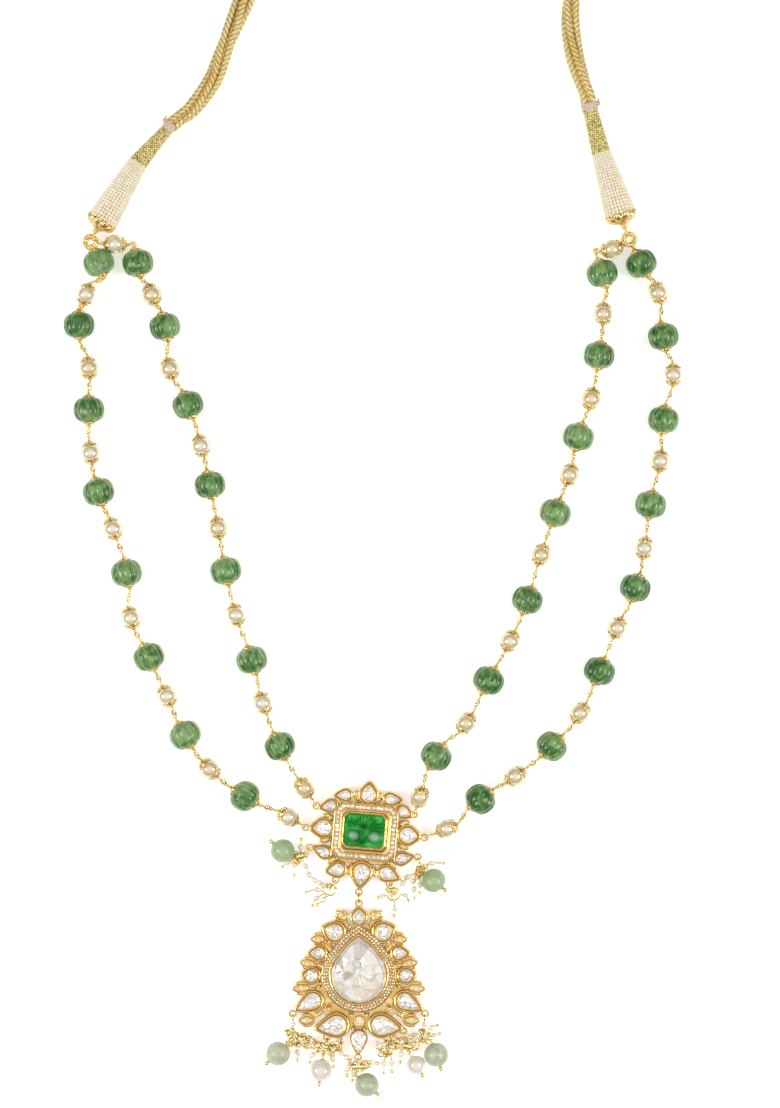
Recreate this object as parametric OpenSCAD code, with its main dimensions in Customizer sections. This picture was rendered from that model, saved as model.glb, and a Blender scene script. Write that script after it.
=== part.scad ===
// Temple necklace: two rows of lobed green beads and pearls on each side, a set centre pendant,
// a pear-shaped lower pendant with drops, beaded cones and a gold-thread cord with a sliding knot.
// It lies flat, face up: Z is up, Y runs from the lower pendant to the cord, and the origin is
// on the flat back of the centre pendant.

/* [Bead strings] */
// Diameter of a lobed green bead
melon_d = 10.5; // [9.5:0.5:11]
// Length of a lobed green bead along its bore
melon_l = 8.4; // [7.6:0.2:8.8]
// Lobes round a green bead
melon_lobes = 11; // [9:1:13]
// Diameter of a string pearl
pearl_d = 6.2; // [5.6:0.2:6.8]
// Width of the gold cap at each end of a bead
cap_d = 4; // [3.4:0.2:4.4]
// Length of a gold cap along the string
cap_l = 1.3; // [1:0.1:1.5]
// Diameter of the wire that links the beads
wire_d = 0.7; // [0.6:0.05:0.8]

/* [Pendants] */
// Width of the emerald
emerald_w = 13.7; // [12:0.1:14.2]
// Height of the emerald
emerald_h = 10.7; // [10:0.1:11.4]
// Width of the pave band round the emerald
band_w = 20.6; // [20:0.1:21]
// Height of the pave band round the emerald
band_h = 18.6; // [18:0.1:19]
// How far the centre pendant is turned clockwise as it lies
centre_turn = 4.6; // [0:0.2:6]
// Radius of the round part of the big pear stone
pear_r = 9.3; // [9:0.1:9.6]
// Width of the gold rim round each small stone
rim_w = 0.75; // [0.6:0.05:0.9]
// Height of the small settings above the back
petal_t = 4.2; // [3.6:0.1:4.6]

/* [Drops] */
// Diameter of a pale jade bead
jade_d = 8.2; // [7.6:0.1:8.6]
// Radius of a seed pearl
seed_r = 0.95; // [0.8:0.05:1.1]

/* [Cones and cord] */
// Diameter of a beaded cone at its wide end
cone_wide_d = 10; // [9.4:0.2:10.6]
// Diameter of a beaded cone at its narrow end
cone_narrow_d = 6.2; // [5.8:0.1:6.4]
// Diameter of the bundle of gold strands
cord_d = 5.2; // [4.8:0.1:5.6]
// Diameter of the sliding knot
knot_d = 9; // [8:0.5:10]

/* [Hidden] */
$fn = 40;

gold = [0.85, 0.62, 0.25];
green = [0.2, 0.45, 0.27];
pale_green = [0.62, 0.74, 0.6];
ivory = [0.9, 0.86, 0.76];
clear = [0.88, 0.88, 0.86];

melon_z = melon_d / 2;          // axis of a green bead, which rests on its lobes
pearl_z = 4.9;                  // axis of a pearl, held up by its wires
last_pearl_z = 4.2;             // axis of the pearl nearest the pendant
cone_z = cone_wide_d / 2;       // axis of a cone at its wide end
loop_z = 2.2;                   // wire loops soldered to the pendants
wire_r = wire_d / 2;
play = 0.15;                    // room between pieces that hang in each other
seat = 0.2;                     // room between a stone or bead and what holds it
link_r = 0.9;                   // ring where two beads are linked
eye_r = 1.1;                    // upright eye at the end of a string or drop
loop_r = 1;                     // flat loop on a pendant
hub_r = 2;                      // gold ring under a cone, which both strings hang from
cone_eye_r = 1.3;               // upright eye under a cone
pearl_cap_at = 0.89 * pearl_d / 2;
melon_cap_at = melon_l / 2 + seat;

// Where each string starts and ends, and its beads from the cone to the pendant, green bead
// first: columns are x and y of the bead's centre
LEFT_OUTER = [
    [-88.8, 189.3], [-93, 178.7], [-95.3, 168.5], [-92.1, 154.3], [-92.1, 140.3], [-91.5, 126],
    [-88.8, 113], [-84.1, 100.7], [-79.5, 86], [-78.1, 71], [-72.1, 58], [-66.1, 45],
    [-60, 32], [-51.8, 20.7], [-40.1, 11.7], [-25.8, 4.7]
];
LEFT_INNER = [
    [-75.8, 189.2], [-71.1, 178.7], [-66.8, 168], [-65.1, 154], [-59.1, 141.9], [-54.8, 128.3],
    [-51.8, 115.3], [-49.1, 101], [-46.5, 86.7], [-43.1, 72], [-37.8, 57], [-34.1, 42.7],
    [-28.5, 28.3], [-20.4, 14.4]
];
RIGHT_INNER = [
    [78.9, 185.7], [79.2, 172.3], [77.8, 158.4], [75.2, 144], [70.9, 131.3], [67.9, 118.7],
    [63.2, 106], [58.5, 92], [53.9, 77], [48.2, 63.3], [41, 50.2], [33.5, 36],
    [23.6, 25], [18.2, 11.4]
];
RIGHT_OUTER = [
    [91.9, 189], [97.5, 179.3], [99.2, 164.7], [102.5, 152], [99.2, 137], [98.2, 123.3],
    [94.9, 108.7], [92.9, 94.3], [89.9, 81], [83.9, 67.7], [77.9, 53.3], [71.5, 39.3],
    [62, 28.3], [49.9, 18.3], [38.3, 10.7], [27.2, 0.8]
];
// The pearl that lies across at the top of each inner string, and the joint after it
LEFT_LEAD = [-83.3, 195.5];
LEFT_CORNER = [-77, 195.5];
RIGHT_LEAD = [82.1, 193.9];
RIGHT_CORNER = [76.5, 193.3];
// Gold rings that the strings hang from
LEFT_HUB = [-91.6, 196.2];
RIGHT_HUB = [87.8, 197.1];

// Ends of the cones and of the thread wraps, narrow end of the cone first
LEFT_CONE = [[-76, 222.7], [-88, 202.7]];
RIGHT_CONE = [[78.7, 226], [85.2, 204.7]];
LEFT_EYE = [-90.6, 198.2];
RIGHT_EYE = [86.9, 199.3];
LEFT_TIE = [-65, 235.4];
RIGHT_TIE = [74.7, 242];

// Petals round the emerald, each a round seat drawn out to a tip: x and y of the seat's centre,
// its radius, x and y of the tip
CENTRE_PETALS = [
    [0.1, 12, 3.5, 0.2, 16.9],
    [7.4, 11.2, 2.45, 12, 11.2], [-7.5, 11.4, 2.4, -11.7, 10.9],
    [12, 7.4, 2.5, 15.6, 5.7], [-12.1, 7.5, 2.5, -16.3, 6.2],
    [14.1, -0.4, 3.7, 19, -0.7], [-13.9, -0.1, 3.7, -19.1, -0.7],
    [12.6, -8.4, 2.55, 17.4, -6.9], [-13, -8.3, 2.5, -17.5, -6.4],
    [8, -13.6, 3.1, 13.2, -15.4], [-8.1, -13.6, 3, -12.7, -14.7],
    [-0.2, -13.9, 3.9, -0.5, -19.9]
];
// Petals of the lower pendant that lie on its middle line, and those on both sides of it
LOWER_MIDDLE_PETALS = [[0, 19.2, 3.1, 0, 23.2], [0, -21.2, 3, -0.3, -26.9]];
LOWER_SIDE_PETALS = [
    [8, 14.3, 3.85, 12.8, 16.1], [13.2, 7.3, 2.8, 17.4, 7.2], [15.7, -0.2, 3.1, 19.6, 0.2],
    [15.3, -8.6, 3.7, 21.8, -12.2], [7.4, -16.8, 4.4, 15.1, -18]
];
// Small paved leaves between those petals: x and y of the middle, length, direction
LOWER_LEAVES = [
    [6.1, 19.8, 4.6, 47], [13.6, 11.8, 5.4, 0], [17, 3.7, 5.8, 10], [19.2, -4.6, 6.4, -5],
    [17.6, -15.3, 5.4, -3]
];
// Centre of the lower pendant's big stone
LOWER_AT = [-2.2, -48.1];

// Loops soldered to the pendants: x and y of the middle
LOOP_LEFT = [-20, 1];
LOOP_UPPER_LEFT = [-16.4, 8.2];
LOOP_UPPER_RIGHT = [16.3, 5.3];
LOOP_RIGHT = [19.7, -2.4];
LOOP_BOTTOM = [-2.2, -20.6];
LOOP_DROPS = [[-18.6, -5.7], [17.5, -8.9], [-9.95, -16.5], [7.9, -17.6]];
LOOP_LOWER_TOP = [-2.2, -24.3];
LOOP_LOWER_DROPS = [[-24.3, -61.2], [-12.9, -69.1], [-2.5, -75.8], [7.2, -69.6], [12.7, -67.1], [19.9, -61.2]];

// Pale jade beads and loose pearls of the drops: x, y and z of the centre, and the direction of
// the bore
JADE_CENTRE_LEFT = [-27.6, -6.5, jade_d / 2, 142];
JADE_CENTRE_RIGHT = [22.7, -16.5, jade_d / 2, -40];
JADE_LOWER_LEFT = [-29.1, -74.2, jade_d / 2, -139];
JADE_LOWER_MIDDLE = [0.5, -84.7, jade_d / 2, -40];
JADE_LOWER_RIGHT = [23.6, -74.6, jade_d / 2, -72];
DROP_PEARL_LEFT = [-14.8, -79.8, 3.8, -98];
DROP_PEARL_RIGHT = [17, -78.1, 3.25, -60];

// Routes of the cord, from the thread tie to the sliding knot
LEFT_CORD = [
    [-64.2, 236.1, 2.6], [-61.5, 238.2, 2.6], [-58.3, 240.6, 2.6], [-53.9, 246.2, 2.6],
    [-50.4, 251.8, 2.6], [-47.8, 258.6, 2.6], [-45.5, 265, 2.6], [-43.2, 270.5, 2.6],
    [-41, 276, 2.6], [-37, 286, 2.6], [-31.5, 297, 2.6], [-24, 307.5, 2.6],
    [-14.5, 316.5, 2.6], [-4, 323, 3], [4, 326, 3.9], [11.7, 327.2, 4.5]
];
RIGHT_CORD = [
    [74.4, 243, 2.6], [73.9, 245.5, 2.6], [71.8, 251.5, 2.6], [69.9, 258, 2.6],
    [68.9, 264.3, 2.6], [68.5, 270.7, 2.6], [68.8, 277, 2.6], [69.2, 286, 2.6],
    [68.2, 296, 2.6], [65, 306, 2.6], [58.5, 315, 2.6], [49, 321.8, 2.6],
    [40.5, 325, 3], [33, 326.7, 3.9], [26.3, 327.2, 4.5]
];
KNOT = [[12.4, 327.2, 4.5], [25.6, 327.2, 4.5]];

function unit(v) = v / norm(v);
function at_z(p, z) = [p[0], p[1], z];
function heading(a) = [cos(a), sin(a), 0];

// A point of the centre pendant's own drawing, where it lies
function turned(p) = [
    p[0] * cos(centre_turn) + p[1] * sin(centre_turn),
    p[1] * cos(centre_turn) - p[0] * sin(centre_turn)
];

// Where an eye sits that hangs in a loop and is pulled towards a point
function eye_at(loop, towards) =
    loop + (loop_r + eye_r - 2 * wire_r - play) * unit(at_z(towards, loop[2]) - loop);

// A string as [start, end, beads]: both ends are joints
function string_of(start, end, beads) = [start, end, beads];
function last_bead(s) = len(s[2]) - 1;
function is_melon(k) = k % 2 == 0;
function bead_z(s, k) = is_melon(k) ? melon_z : k == last_bead(s) ? last_pearl_z : pearl_z;
function bead(s, k) = at_z(s[2][k], bead_z(s, k));
function way(s, k) = k == 0 ? unit(bead(s, 0) - s[0])
    : k == last_bead(s) ? unit(s[1] - bead(s, k))
    : unit(bead(s, k + 1) - bead(s, k - 1));
function cap_at(k) = is_melon(k) ? melon_cap_at : pearl_cap_at;
function reach(k) = cap_at(k) + cap_l + 1.3;
function joint(s, k) = k == 0 ? s[0] : k > last_bead(s) ? s[1]
    : (bead(s, k - 1) + reach(k - 1) * way(s, k - 1) + bead(s, k) - reach(k) * way(s, k)) / 2;

left_outer = string_of(at_z(LEFT_HUB, 5), eye_at(at_z(LOOP_LEFT, loop_z), LEFT_OUTER[15]), LEFT_OUTER);
left_inner = string_of(at_z(LEFT_CORNER, 5), eye_at(at_z(LOOP_UPPER_LEFT, loop_z), LEFT_INNER[13]), LEFT_INNER);
right_inner = string_of(at_z(RIGHT_CORNER, 5), eye_at(at_z(LOOP_UPPER_RIGHT, loop_z), RIGHT_INNER[13]), RIGHT_INNER);
right_outer = string_of(at_z(RIGHT_HUB, 5), eye_at(at_z(LOOP_RIGHT, loop_z), RIGHT_OUTER[15]), RIGHT_OUTER);

// Puts its children at p with their Z axis towards q
module towards(p, q) {
    d = q - p;
    translate(p) rotate([0, acos(d[2] / norm(d)), atan2(d[1], d[0])]) children();
}
module rod(p, q, r = wire_r) towards(p, q) cylinder(h = norm(q - p), r = r);

// A ball on a wire: with its poles on the line through q, or upright with its seam beside the wire
module ball(p, q, r) towards(p, q) sphere(r = r);
module upright_ball(p, q, r) translate(p) rotate(90 + atan2(q[1] - p[1], q[0] - p[0])) sphere(r = r, $fn = 20);

module ring(r) rotate_extrude($fn = 24) translate([r, 0]) circle(wire_r, $fn = 16);

// A ring that lies flat, and one that stands upright along a direction
module flat_ring(p, r) translate(p) ring(r);
module upright_ring(p, a, r) translate(p) rotate([0, 0, a]) rotate([90, 0, 0]) ring(r);
module eye(p, q, r = eye_r) upright_ring(p, atan2(q[1] - p[1], q[0] - p[0]), r);

// A wire from a point to the rim of a ring
module lead(p, middle, r) rod(p, middle + r * unit(p - middle));

module melon(s, k) color(green) {
    lobe_r = 1.35 * melon_d / 10.5;
    towards(bead(s, k), bead(s, k) + way(s, k)) difference() {
        intersection() {
            linear_extrude(2 * melon_l, center = true) union() {
                circle(melon_d / 2 - lobe_r);
                for (i = [0 : melon_lobes - 1]) {
                    rotate(i * 360 / melon_lobes) translate([melon_d / 2 - lobe_r, 0]) circle(lobe_r);
                }
            }
            rotate_extrude() scale([melon_d / 2, melon_l / 2]) polygon([
                [0, -1], [0.36, -0.98], [0.65, -0.83], [0.86, -0.6], [0.99, -0.24],
                [0.99, 0.24], [0.86, 0.6], [0.65, 0.83], [0.36, 0.98], [0, 1]
            ]);
        }
        cylinder(h = 3 * melon_l, r = wire_r + seat, center = true);
    }
}

// The wire through a bead with a gold cap at each end, and the pearl if it is one
module bead_unit(centre, dir, from_cap, is_pearl) {
    half = from_cap + cap_l - 0.3;
    rod(centre - half * dir, centre + half * dir);
    for (side = [-1, 1]) {
        towards(centre + side * from_cap * dir, centre + side * (from_cap + 1) * dir)
            cylinder(h = cap_l, r1 = cap_d / 2, r2 = 0.8);
    }
    if (is_pearl) ball(centre, centre + dir, pearl_d / 2);
}

// All that is joined along one string: wires, caps, pearls and the rings between them
module bead_string(s, start_r) color(gold) union() {
    last = last_bead(s);
    for (k = [0 : last]) {
        half = cap_at(k) + cap_l - 0.4;
        bead_unit(bead(s, k), way(s, k), cap_at(k), !is_melon(k));
        lead(bead(s, k) - half * way(s, k), joint(s, k), k == 0 ? start_r : link_r);
        lead(bead(s, k) + half * way(s, k), joint(s, k + 1), k == last ? eye_r : link_r);
        if (k > 0) flat_ring(joint(s, k), link_r);
    }
    flat_ring(s[0], start_r);
    eye(s[1], bead(s, last));
}

// The pearl that lies across between the hub ring and an inner string's corner
module lead_pearl(s, hub, centre) color(gold) union() {
    c = at_z(centre, pearl_z);
    h = at_z(hub, 5);
    e = h + (hub_r + eye_r - 2 * wire_r - play) * unit(c - h);
    dir = unit(s[0] - e);
    half = pearl_cap_at + cap_l - 0.4;
    eye(e, c);
    bead_unit(c, dir, pearl_cap_at, true);
    lead(c - half * dir, e, eye_r);
    lead(c + half * dir, s[0], link_r);
}

// A round seat drawn out to a tip, with slightly full sides, h high
module petal(p, h, inset = 0) {
    c = [p[0], p[1]];
    tip = [p[3], p[4]];
    r = p[2] - inset;
    reach = norm(tip - c) - 1.4 * inset;
    a = acos(r / reach);
    full = 0.06 * reach;
    translate(c) rotate(atan2(tip[1] - c[1], tip[0] - c[0])) union() {
        cylinder(h = h, r = r);
        linear_extrude(h) polygon([
            [0.97 * r * cos(a), 0.97 * r * sin(a)],
            [(r * cos(a) + reach) / 2 + full * cos(a), r * sin(a) / 2 + full * sin(a)],
            [reach, 0],
            [(r * cos(a) + reach) / 2 + full * cos(a), -r * sin(a) / 2 - full * sin(a)],
            [0.97 * r * cos(a), -0.97 * r * sin(a)]
        ]);
    }
}
module petals(rows, h, inset = 0) for (p = rows) petal(p, h, inset);

// A rectangle whose corners are rounded off by one circle round its middle
module cushion_2d(w, h, r) intersection() {
    square([w, h], center = true);
    circle(r);
}

module both_sides() {
    children();
    mirror([1, 0, 0]) children();
}

module solder_loops(points) for (p = points) flat_ring(at_z(p, loop_z), loop_r);

// A round-backed plate, the petals' settings, the bezel, and pockets for the stones
module centre_frame() color(gold) union() {
    rotate(-centre_turn) difference() {
        union() {
            linear_extrude(1.6) cushion_2d(22.6, 22.4, 13.5);
            petals(CENTRE_PETALS, petal_t);
            linear_extrude(petal_t + 0.7) cushion_2d(band_w + 1.2, band_h + 1.2, 12.8);
            linear_extrude(petal_t + 1.2) cushion_2d(emerald_w + 1.8, emerald_h + 2.2, 8.9);
        }
        translate([0, 0, petal_t - 1.4]) petals(CENTRE_PETALS, 5, rim_w);
        translate([0, 0, petal_t - 0.6]) linear_extrude(5) difference() {
            cushion_2d(band_w, band_h, 12.2);
            cushion_2d(emerald_w + 1.8, emerald_h + 2.2, 8.9);
        }
        translate([0, 0, petal_t - 1.4]) linear_extrude(5) cushion_2d(emerald_w, emerald_h, 7.9);
    }
    solder_loops(concat([LOOP_LEFT, LOOP_UPPER_LEFT, LOOP_UPPER_RIGHT, LOOP_RIGHT, LOOP_BOTTOM], LOOP_DROPS));
}

module centre_emerald() color(green) rotate(-centre_turn) translate([0, 0, petal_t - 1.3]) union() {
    linear_extrude(3.2) cushion_2d(emerald_w - 2 * play, emerald_h - 2 * play, 7.9 - play);
    linear_extrude(4) cushion_2d(emerald_w - 2.6, emerald_h - 2.6, 6.7);
}

module centre_pave() color(clear) rotate(-centre_turn) translate([0, 0, petal_t - 0.5])
    linear_extrude(1.6) difference() {
        cushion_2d(band_w - 2 * play, band_h - 2 * play, 12.2 - play);
        cushion_2d(emerald_w + 1.8 + 2 * play, emerald_h + 2.2 + 2 * play, 8.9 + play);
    }

module centre_polki() color(clear) rotate(-centre_turn) translate([0, 0, petal_t - 1.3])
    petals(CENTRE_PETALS, 1.9, rim_w + play);

// A gold strip behind the stones from the middle of the pendant to a leaf
module backing_strip(p) linear_extrude(1.8) rotate(atan2(p[1], p[0])) translate([0, -0.8]) square([norm(p), 1.6]);

module leaf_2d(p) {
    half = p[2] / 2;
    wide = 1.5;
    r = (half * half + wide * wide) / (2 * wide);
    translate([p[0], p[1]]) rotate(p[3]) intersection() {
        translate([0, r - wide]) circle(r);
        translate([0, wide - r]) circle(r);
    }
}

module lower_petals(h, inset = 0) {
    petals(LOWER_MIDDLE_PETALS, h, inset);
    both_sides() petals(LOWER_SIDE_PETALS, h, inset);
}

// The pear shape that the big stone, its bezel and the pave band share, grown by a margin
module pear(h, margin) petal([0, 0, pear_r + margin, 0, 12.9 + 1.15 * margin], h);

module lower_frame() color(gold) union() {
    translate(LOWER_AT) difference() {
        union() {
            cylinder(h = 1.4, r = 14.4);
            pear(1.5, 3.4);
            linear_extrude(1.6) polygon([[-3.4, -13], [3.4, -13], [1.6, -19.4], [-1.6, -19.4]]);
            linear_extrude(petal_t - 1.2) both_sides() for (p = LOWER_LEAVES) leaf_2d(p);
            for (p = LOWER_LEAVES) both_sides() backing_strip([p[0], p[1]]);
            translate([0.1, -15.6]) cylinder(h = petal_t - 0.8, r = 1.9);
            lower_petals(petal_t);
            pear(petal_t + 0.5, 2.7);
            pear(petal_t + 1, 0.7);
        }
        translate([0, 0, petal_t - 1.4]) lower_petals(5, rim_w);
        translate([0, 0, petal_t - 0.6]) difference() {
            pear(5, 2.2);
            pear(6, 0.7);
        }
        translate([0, 0, petal_t - 1.6]) pear(5, 0);
    }
    solder_loops(concat([LOOP_LOWER_TOP], LOOP_LOWER_DROPS));
}

module lower_polki() color(clear) translate([LOWER_AT[0], LOWER_AT[1], petal_t - 1.5]) union() {
    pear(2.8, -play);
    pear(3.6, -1.8);
}

module lower_pave() color(clear) translate([LOWER_AT[0], LOWER_AT[1], petal_t - 0.5]) difference() {
    pear(1.3, 2.2 - play);
    translate([0, 0, -1]) pear(4, 0.7 + play);
}

module lower_petal_polki() color(clear) translate([LOWER_AT[0], LOWER_AT[1], petal_t - 1.3])
    lower_petals(1.9, rim_w + play);

// The jump ring between the two pendants
module pendant_link() color(gold)
    upright_ring(at_z((LOOP_BOTTOM + LOOP_LOWER_TOP) / 2, loop_z), 90, 1.65);

// Seeds on a wire: each row is x, y, z and the radius of the seed or ball there, 0 for a bend.
// The first row is inside what holds the wire.
module seed_wire(rows) {
    function at(k) = [rows[k][0], rows[k][1], rows[k][2]];
    for (k = [0 : len(rows) - 1]) {
        from = at(max(k - 1, 0));
        to = at(max(k, 1));
        if (k > 0) {
            upright_ball(to, to + to - from, max(rows[k][3], 1.3 * wire_r));
            rod(from, to, 0.8 * wire_r);
        }
    }
}
module seed(p) upright_ball(p, p + [0, 1, 0], seed_r);

// A bunch of wire turns that holds several drops
module coil(p, q, r = 1.3) rod(p, q, r);

// The wire through a loose bead, from a knot of wire turns to the small ball below the bead
module bead_wire(bead, from, bead_r) {
    c = [bead[0], bead[1], bead[2]];
    top = c - (bead_r + 1.1) * heading(bead[3]);
    end = c + (bead_r + 0.9) * heading(bead[3]);
    rod(top, end, 0.8 * wire_r);
    rod(from, top, 0.8 * wire_r);
    upright_ball(end, end + heading(bead[3]), 0.8);
    upright_ball(top, top + heading(bead[3]), 0.7);
}

module loose_bead(bead, d) {
    c = [bead[0], bead[1], bead[2]];
    towards(c, c + heading(bead[3])) difference() {
        sphere(r = d / 2);
        cylinder(h = 2 * d, r = wire_r + 0.1, center = true);
    }
}

module fringe_centre_left() color(gold) union() {
    hang = eye_at(at_z(LOOP_DROPS[0], loop_z), [-22, -8.5]);
    eye(hang, at_z([-22, -8.5], loop_z));
    rod(hang + eye_r * unit([-22, -8.5, loop_z] - hang), [-21.6, -8.3, 2.2]);
    coil([-20.8, -8.1, 2.2], [-23, -8.7, 2.2]);
    bead_wire(JADE_CENTRE_LEFT, [-22.6, -8.6, 2.4], jade_d / 2);
    seed_wire([[-22, -8.2, 2.4, 0], [-21.7, -5.6, 1.6, seed_r], [-21.5, -3, 1.2, 0.6]]);
    seed_wire([[-22.6, -8.9, 2, 0], [-26.1, -10.9, 1.2, seed_r], [-27.8, -12.3, 1.1, 0.6]]);
    seed_wire([[-22.2, -8.8, 1.8, 0], [-23.6, -11.6, 1.2, seed_r], [-23.8, -15, 1.1, 0.6]]);
    seed_wire([
        [-21.6, -8.6, 2, 0], [-20, -12, 1.2, seed_r], [-18.9, -14.8, 1.2, seed_r],
        [-17.1, -16.7, 1.2, seed_r], [-15.3, -17.7, 1.2, seed_r], [-13.4, -18.4, 1.9, 0]
    ]);
    flat_ring([-12, -19.8, 1.6], 2);
    seed_wire([[-13.8, -20.6, 1.6, 0], [-16.2, -19.9, 1.2, seed_r], [-20, -20.7, 1.1, 0.6]]);
    seed_wire([[-13.6, -21.1, 1.6, 0], [-16.3, -22.7, 1.2, seed_r], [-17.8, -25.3, 1.1, 0.6]]);
    seed_wire([[-13, -21.5, 1.6, 0], [-13.9, -23.3, 1.2, seed_r], [-16.1, -24.8, 1.1, 0.6]]);
    second = eye_at(at_z(LOOP_DROPS[2], loop_z), [-12, -19.8]);
    eye(second, at_z([-12, -19.8], loop_z), eye_r);
}

module fringe_centre_right() color(gold) union() {
    hang = eye_at(at_z(LOOP_DROPS[1], loop_z), [18.6, -12]);
    eye(hang, at_z([18.6, -12], loop_z));
    rod(hang + eye_r * unit([18.6, -12, loop_z] - hang), [18.7, -12.2, 2.2]);
    coil([18.4, -12.2, 2.2], [17.7, -14.8, 2.2]);
    bead_wire(JADE_CENTRE_RIGHT, [18.4, -12.8, 3.2], jade_d / 2);
    seed_wire([[18.7, -11.9, 2.6, 0], [22.3, -11, 1.6, seed_r], [26.1, -11, 1.2, 0.6]]);
    seed_wire([[17.5, -14.2, 2, 0], [16, -17, 1.2, seed_r], [16.2, -19.7, 1.2, seed_r], [16.5, -22.7, 1.1, 0.6]]);
    seed_wire([[17.9, -14.4, 2, 0], [18.3, -18.2, 1.2, seed_r], [18.2, -21, 1.1, 0.6]]);
    seed_wire([
        [18, -13.4, 2, 0], [14.2, -15.7, 1.2, seed_r], [12.7, -17.6, 1.2, seed_r], [10.8, -19.7, 1.9, 0]
    ]);
    flat_ring([9.3, -21.3, 1.6], 2.1);
    seed_wire([[7.25, -21.7, 1.7, 0], [5.7, -22, 1.2, 0.8], [4.3, -22.5, 1.1, 0.6]]);
    seed_wire([[11.35, -21.5, 1.7, 0], [13.3, -21.8, 1.2, 0.8], [14.4, -23.5, 1.1, 0.6]]);
    seed_wire([[9.5, -23.35, 1.7, 0], [9.9, -26.2, 1.2, seed_r], [9.6, -28.6, 1.1, 0.6]]);
    second = eye_at(at_z(LOOP_DROPS[3], loop_z), [9.3, -21.3]);
    eye(second, at_z([9.3, -21.3], loop_z), eye_r);
}

// An upright eye in one of the lower pendant's loops, and the wire from it to a coil
module hanging(k, to) {
    hang = eye_at(at_z(LOOP_LOWER_DROPS[k], loop_z), to);
    eye(hang, to);
    rod(hang + eye_r * unit(to - hang), to);
}

module fringe_lower() color(gold) {
    union() {
        hanging(0, [-24.2, -67.4, 2.2]);
        seed([-24.2, -64.8, 2.2]);
        coil([-24.2, -67.2, 2.2], [-24.6, -70.6, 2.2], 1.5);
        bead_wire(JADE_LOWER_LEFT, [-24.6, -69.8, 2.4], jade_d / 2);
        seed_wire([[-24.2, -69, 2, 0], [-20.6, -71, 1.4, seed_r], [-18.6, -72.4, 1.1, 0.6]]);
        seed_wire([[-24.4, -70.4, 2, 0], [-22.6, -74.3, 1.2, seed_r], [-22.8, -77, 1.1, 0.6]]);
    }
    union() {
        hanging(1, [-13.9, -73.2, 2]);
        coil([-15.6, -73, 2.2], [-12, -73.4, 2.2], 1.4);
        bead_wire(DROP_PEARL_LEFT, [-14, -73.4, 2.4], 3.8);
        seed_wire([[-15.3, -72.8, 2, 0], [-17.8, -75.2, 1.2, seed_r], [-18.6, -77.6, 1.1, 0.6]]);
        seed_wire([[-12.3, -73.4, 2, 0], [-10.3, -71.9, 1.2, seed_r], [-7.9, -71.2, 1.1, 0.6]]);
        seed_wire([[-12.3, -73.8, 2, 0], [-11, -76.4, 1.2, seed_r], [-10.7, -79, 1.1, 0.6]]);
    }
    union() {
        hanging(2, [-2.4, -79, 2]);
        coil([-4.6, -78.8, 2.2], [-0.2, -78.8, 2.2], 1.4);
        bead_wire(JADE_LOWER_MIDDLE, [-2.6, -79.6, 2.4], jade_d / 2);
        seed_wire([[-4.2, -78.2, 2, 0], [-6.2, -76, 1.2, seed_r], [-8.4, -74.6, 1.1, 0.6]]);
        seed_wire([[-4.4, -78.8, 2, 0], [-6, -80, 1.2, 0.8], [-6.2, -82, 1.1, 0.6]]);
        seed_wire([[-3.6, -79, 2, 0], [-4, -81.6, 1.2, 0.8], [-4.4, -83.6, 1.1, 0.6]]);
        seed_wire([[-0.6, -78.2, 2, 0], [2, -77.6, 1.2, seed_r], [4, -78, 1.1, 0.6]]);
    }
    union() {
        hanging(3, [7.5, -73.4, 2]);
        coil([7.6, -72.8, 2.2], [7.4, -74.4, 2.2], 1.9);
        seed_wire([[6.5, -73.6, 2, 0], [6.2, -78, 1.2, seed_r], [6.1, -81.2, 1.1, 0.6]]);
        seed_wire([[8.3, -73.6, 2, 0], [8.8, -77.6, 1.2, seed_r], [8.9, -80.6, 1.1, 0.6]]);
    }
    union() {
        hanging(4, [14, -71.6, 2]);
        coil([12.8, -71.8, 2.2], [15.4, -72.2, 2.2]);
        bead_wire(DROP_PEARL_RIGHT, [14.4, -72.4, 2.4], 3.25);
        seed_wire([[13, -72, 2, 0], [11.9, -75, 1.2, seed_r], [11.6, -77.6, 1.1, 0.6]]);
    }
    union() {
        hanging(5, [19.4, -67.4, 2.2]);
        seed([19.7, -64.8, 2.2]);
        coil([19.4, -67.2, 2.2], [19.9, -70.2, 2.2]);
        bead_wire(JADE_LOWER_RIGHT, [19.9, -69.8, 2.4], jade_d / 2);
        seed_wire([[19.6, -67.6, 2.4, 0], [22, -66, 1.4, seed_r], [24.2, -65.2, 1.1, 0.6]]);
        seed_wire([[19.8, -69.2, 2, 0], [23, -68.6, 1.3, 0.8], [24.8, -68, 1.1, 0.6]]);
    }
}

module jade(bead) color(pale_green) loose_bead(bead, jade_d);
module drop_pearl(bead) color(ivory) loose_bead(bead, 2 * bead[2]);

// A cone of seed pearls woven round the cord's end, with a gold cap and an eye below it
module cone(ends, eye_p) color(ivory) union() {
    narrow = at_z(ends[0], cone_narrow_d / 2 + 0.1);
    wide = at_z(ends[1], cone_z + 0.05);
    dir = unit(wide - narrow);
    cap_end = wide + 2.6 * dir;
    e = at_z(eye_p, 5);
    towards(narrow, wide) cylinder(h = norm(wide - narrow), d1 = cone_narrow_d, d2 = cone_wide_d);
    towards(wide - 0.2 * dir, cap_end) cylinder(h = 2.8, d1 = 0.88 * cone_wide_d, d2 = 3.4);
    rod(wide + dir, e + cone_eye_r * unit(cap_end - e), 2 * wire_r);
    eye(e, cap_end, cone_eye_r);
}

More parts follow.
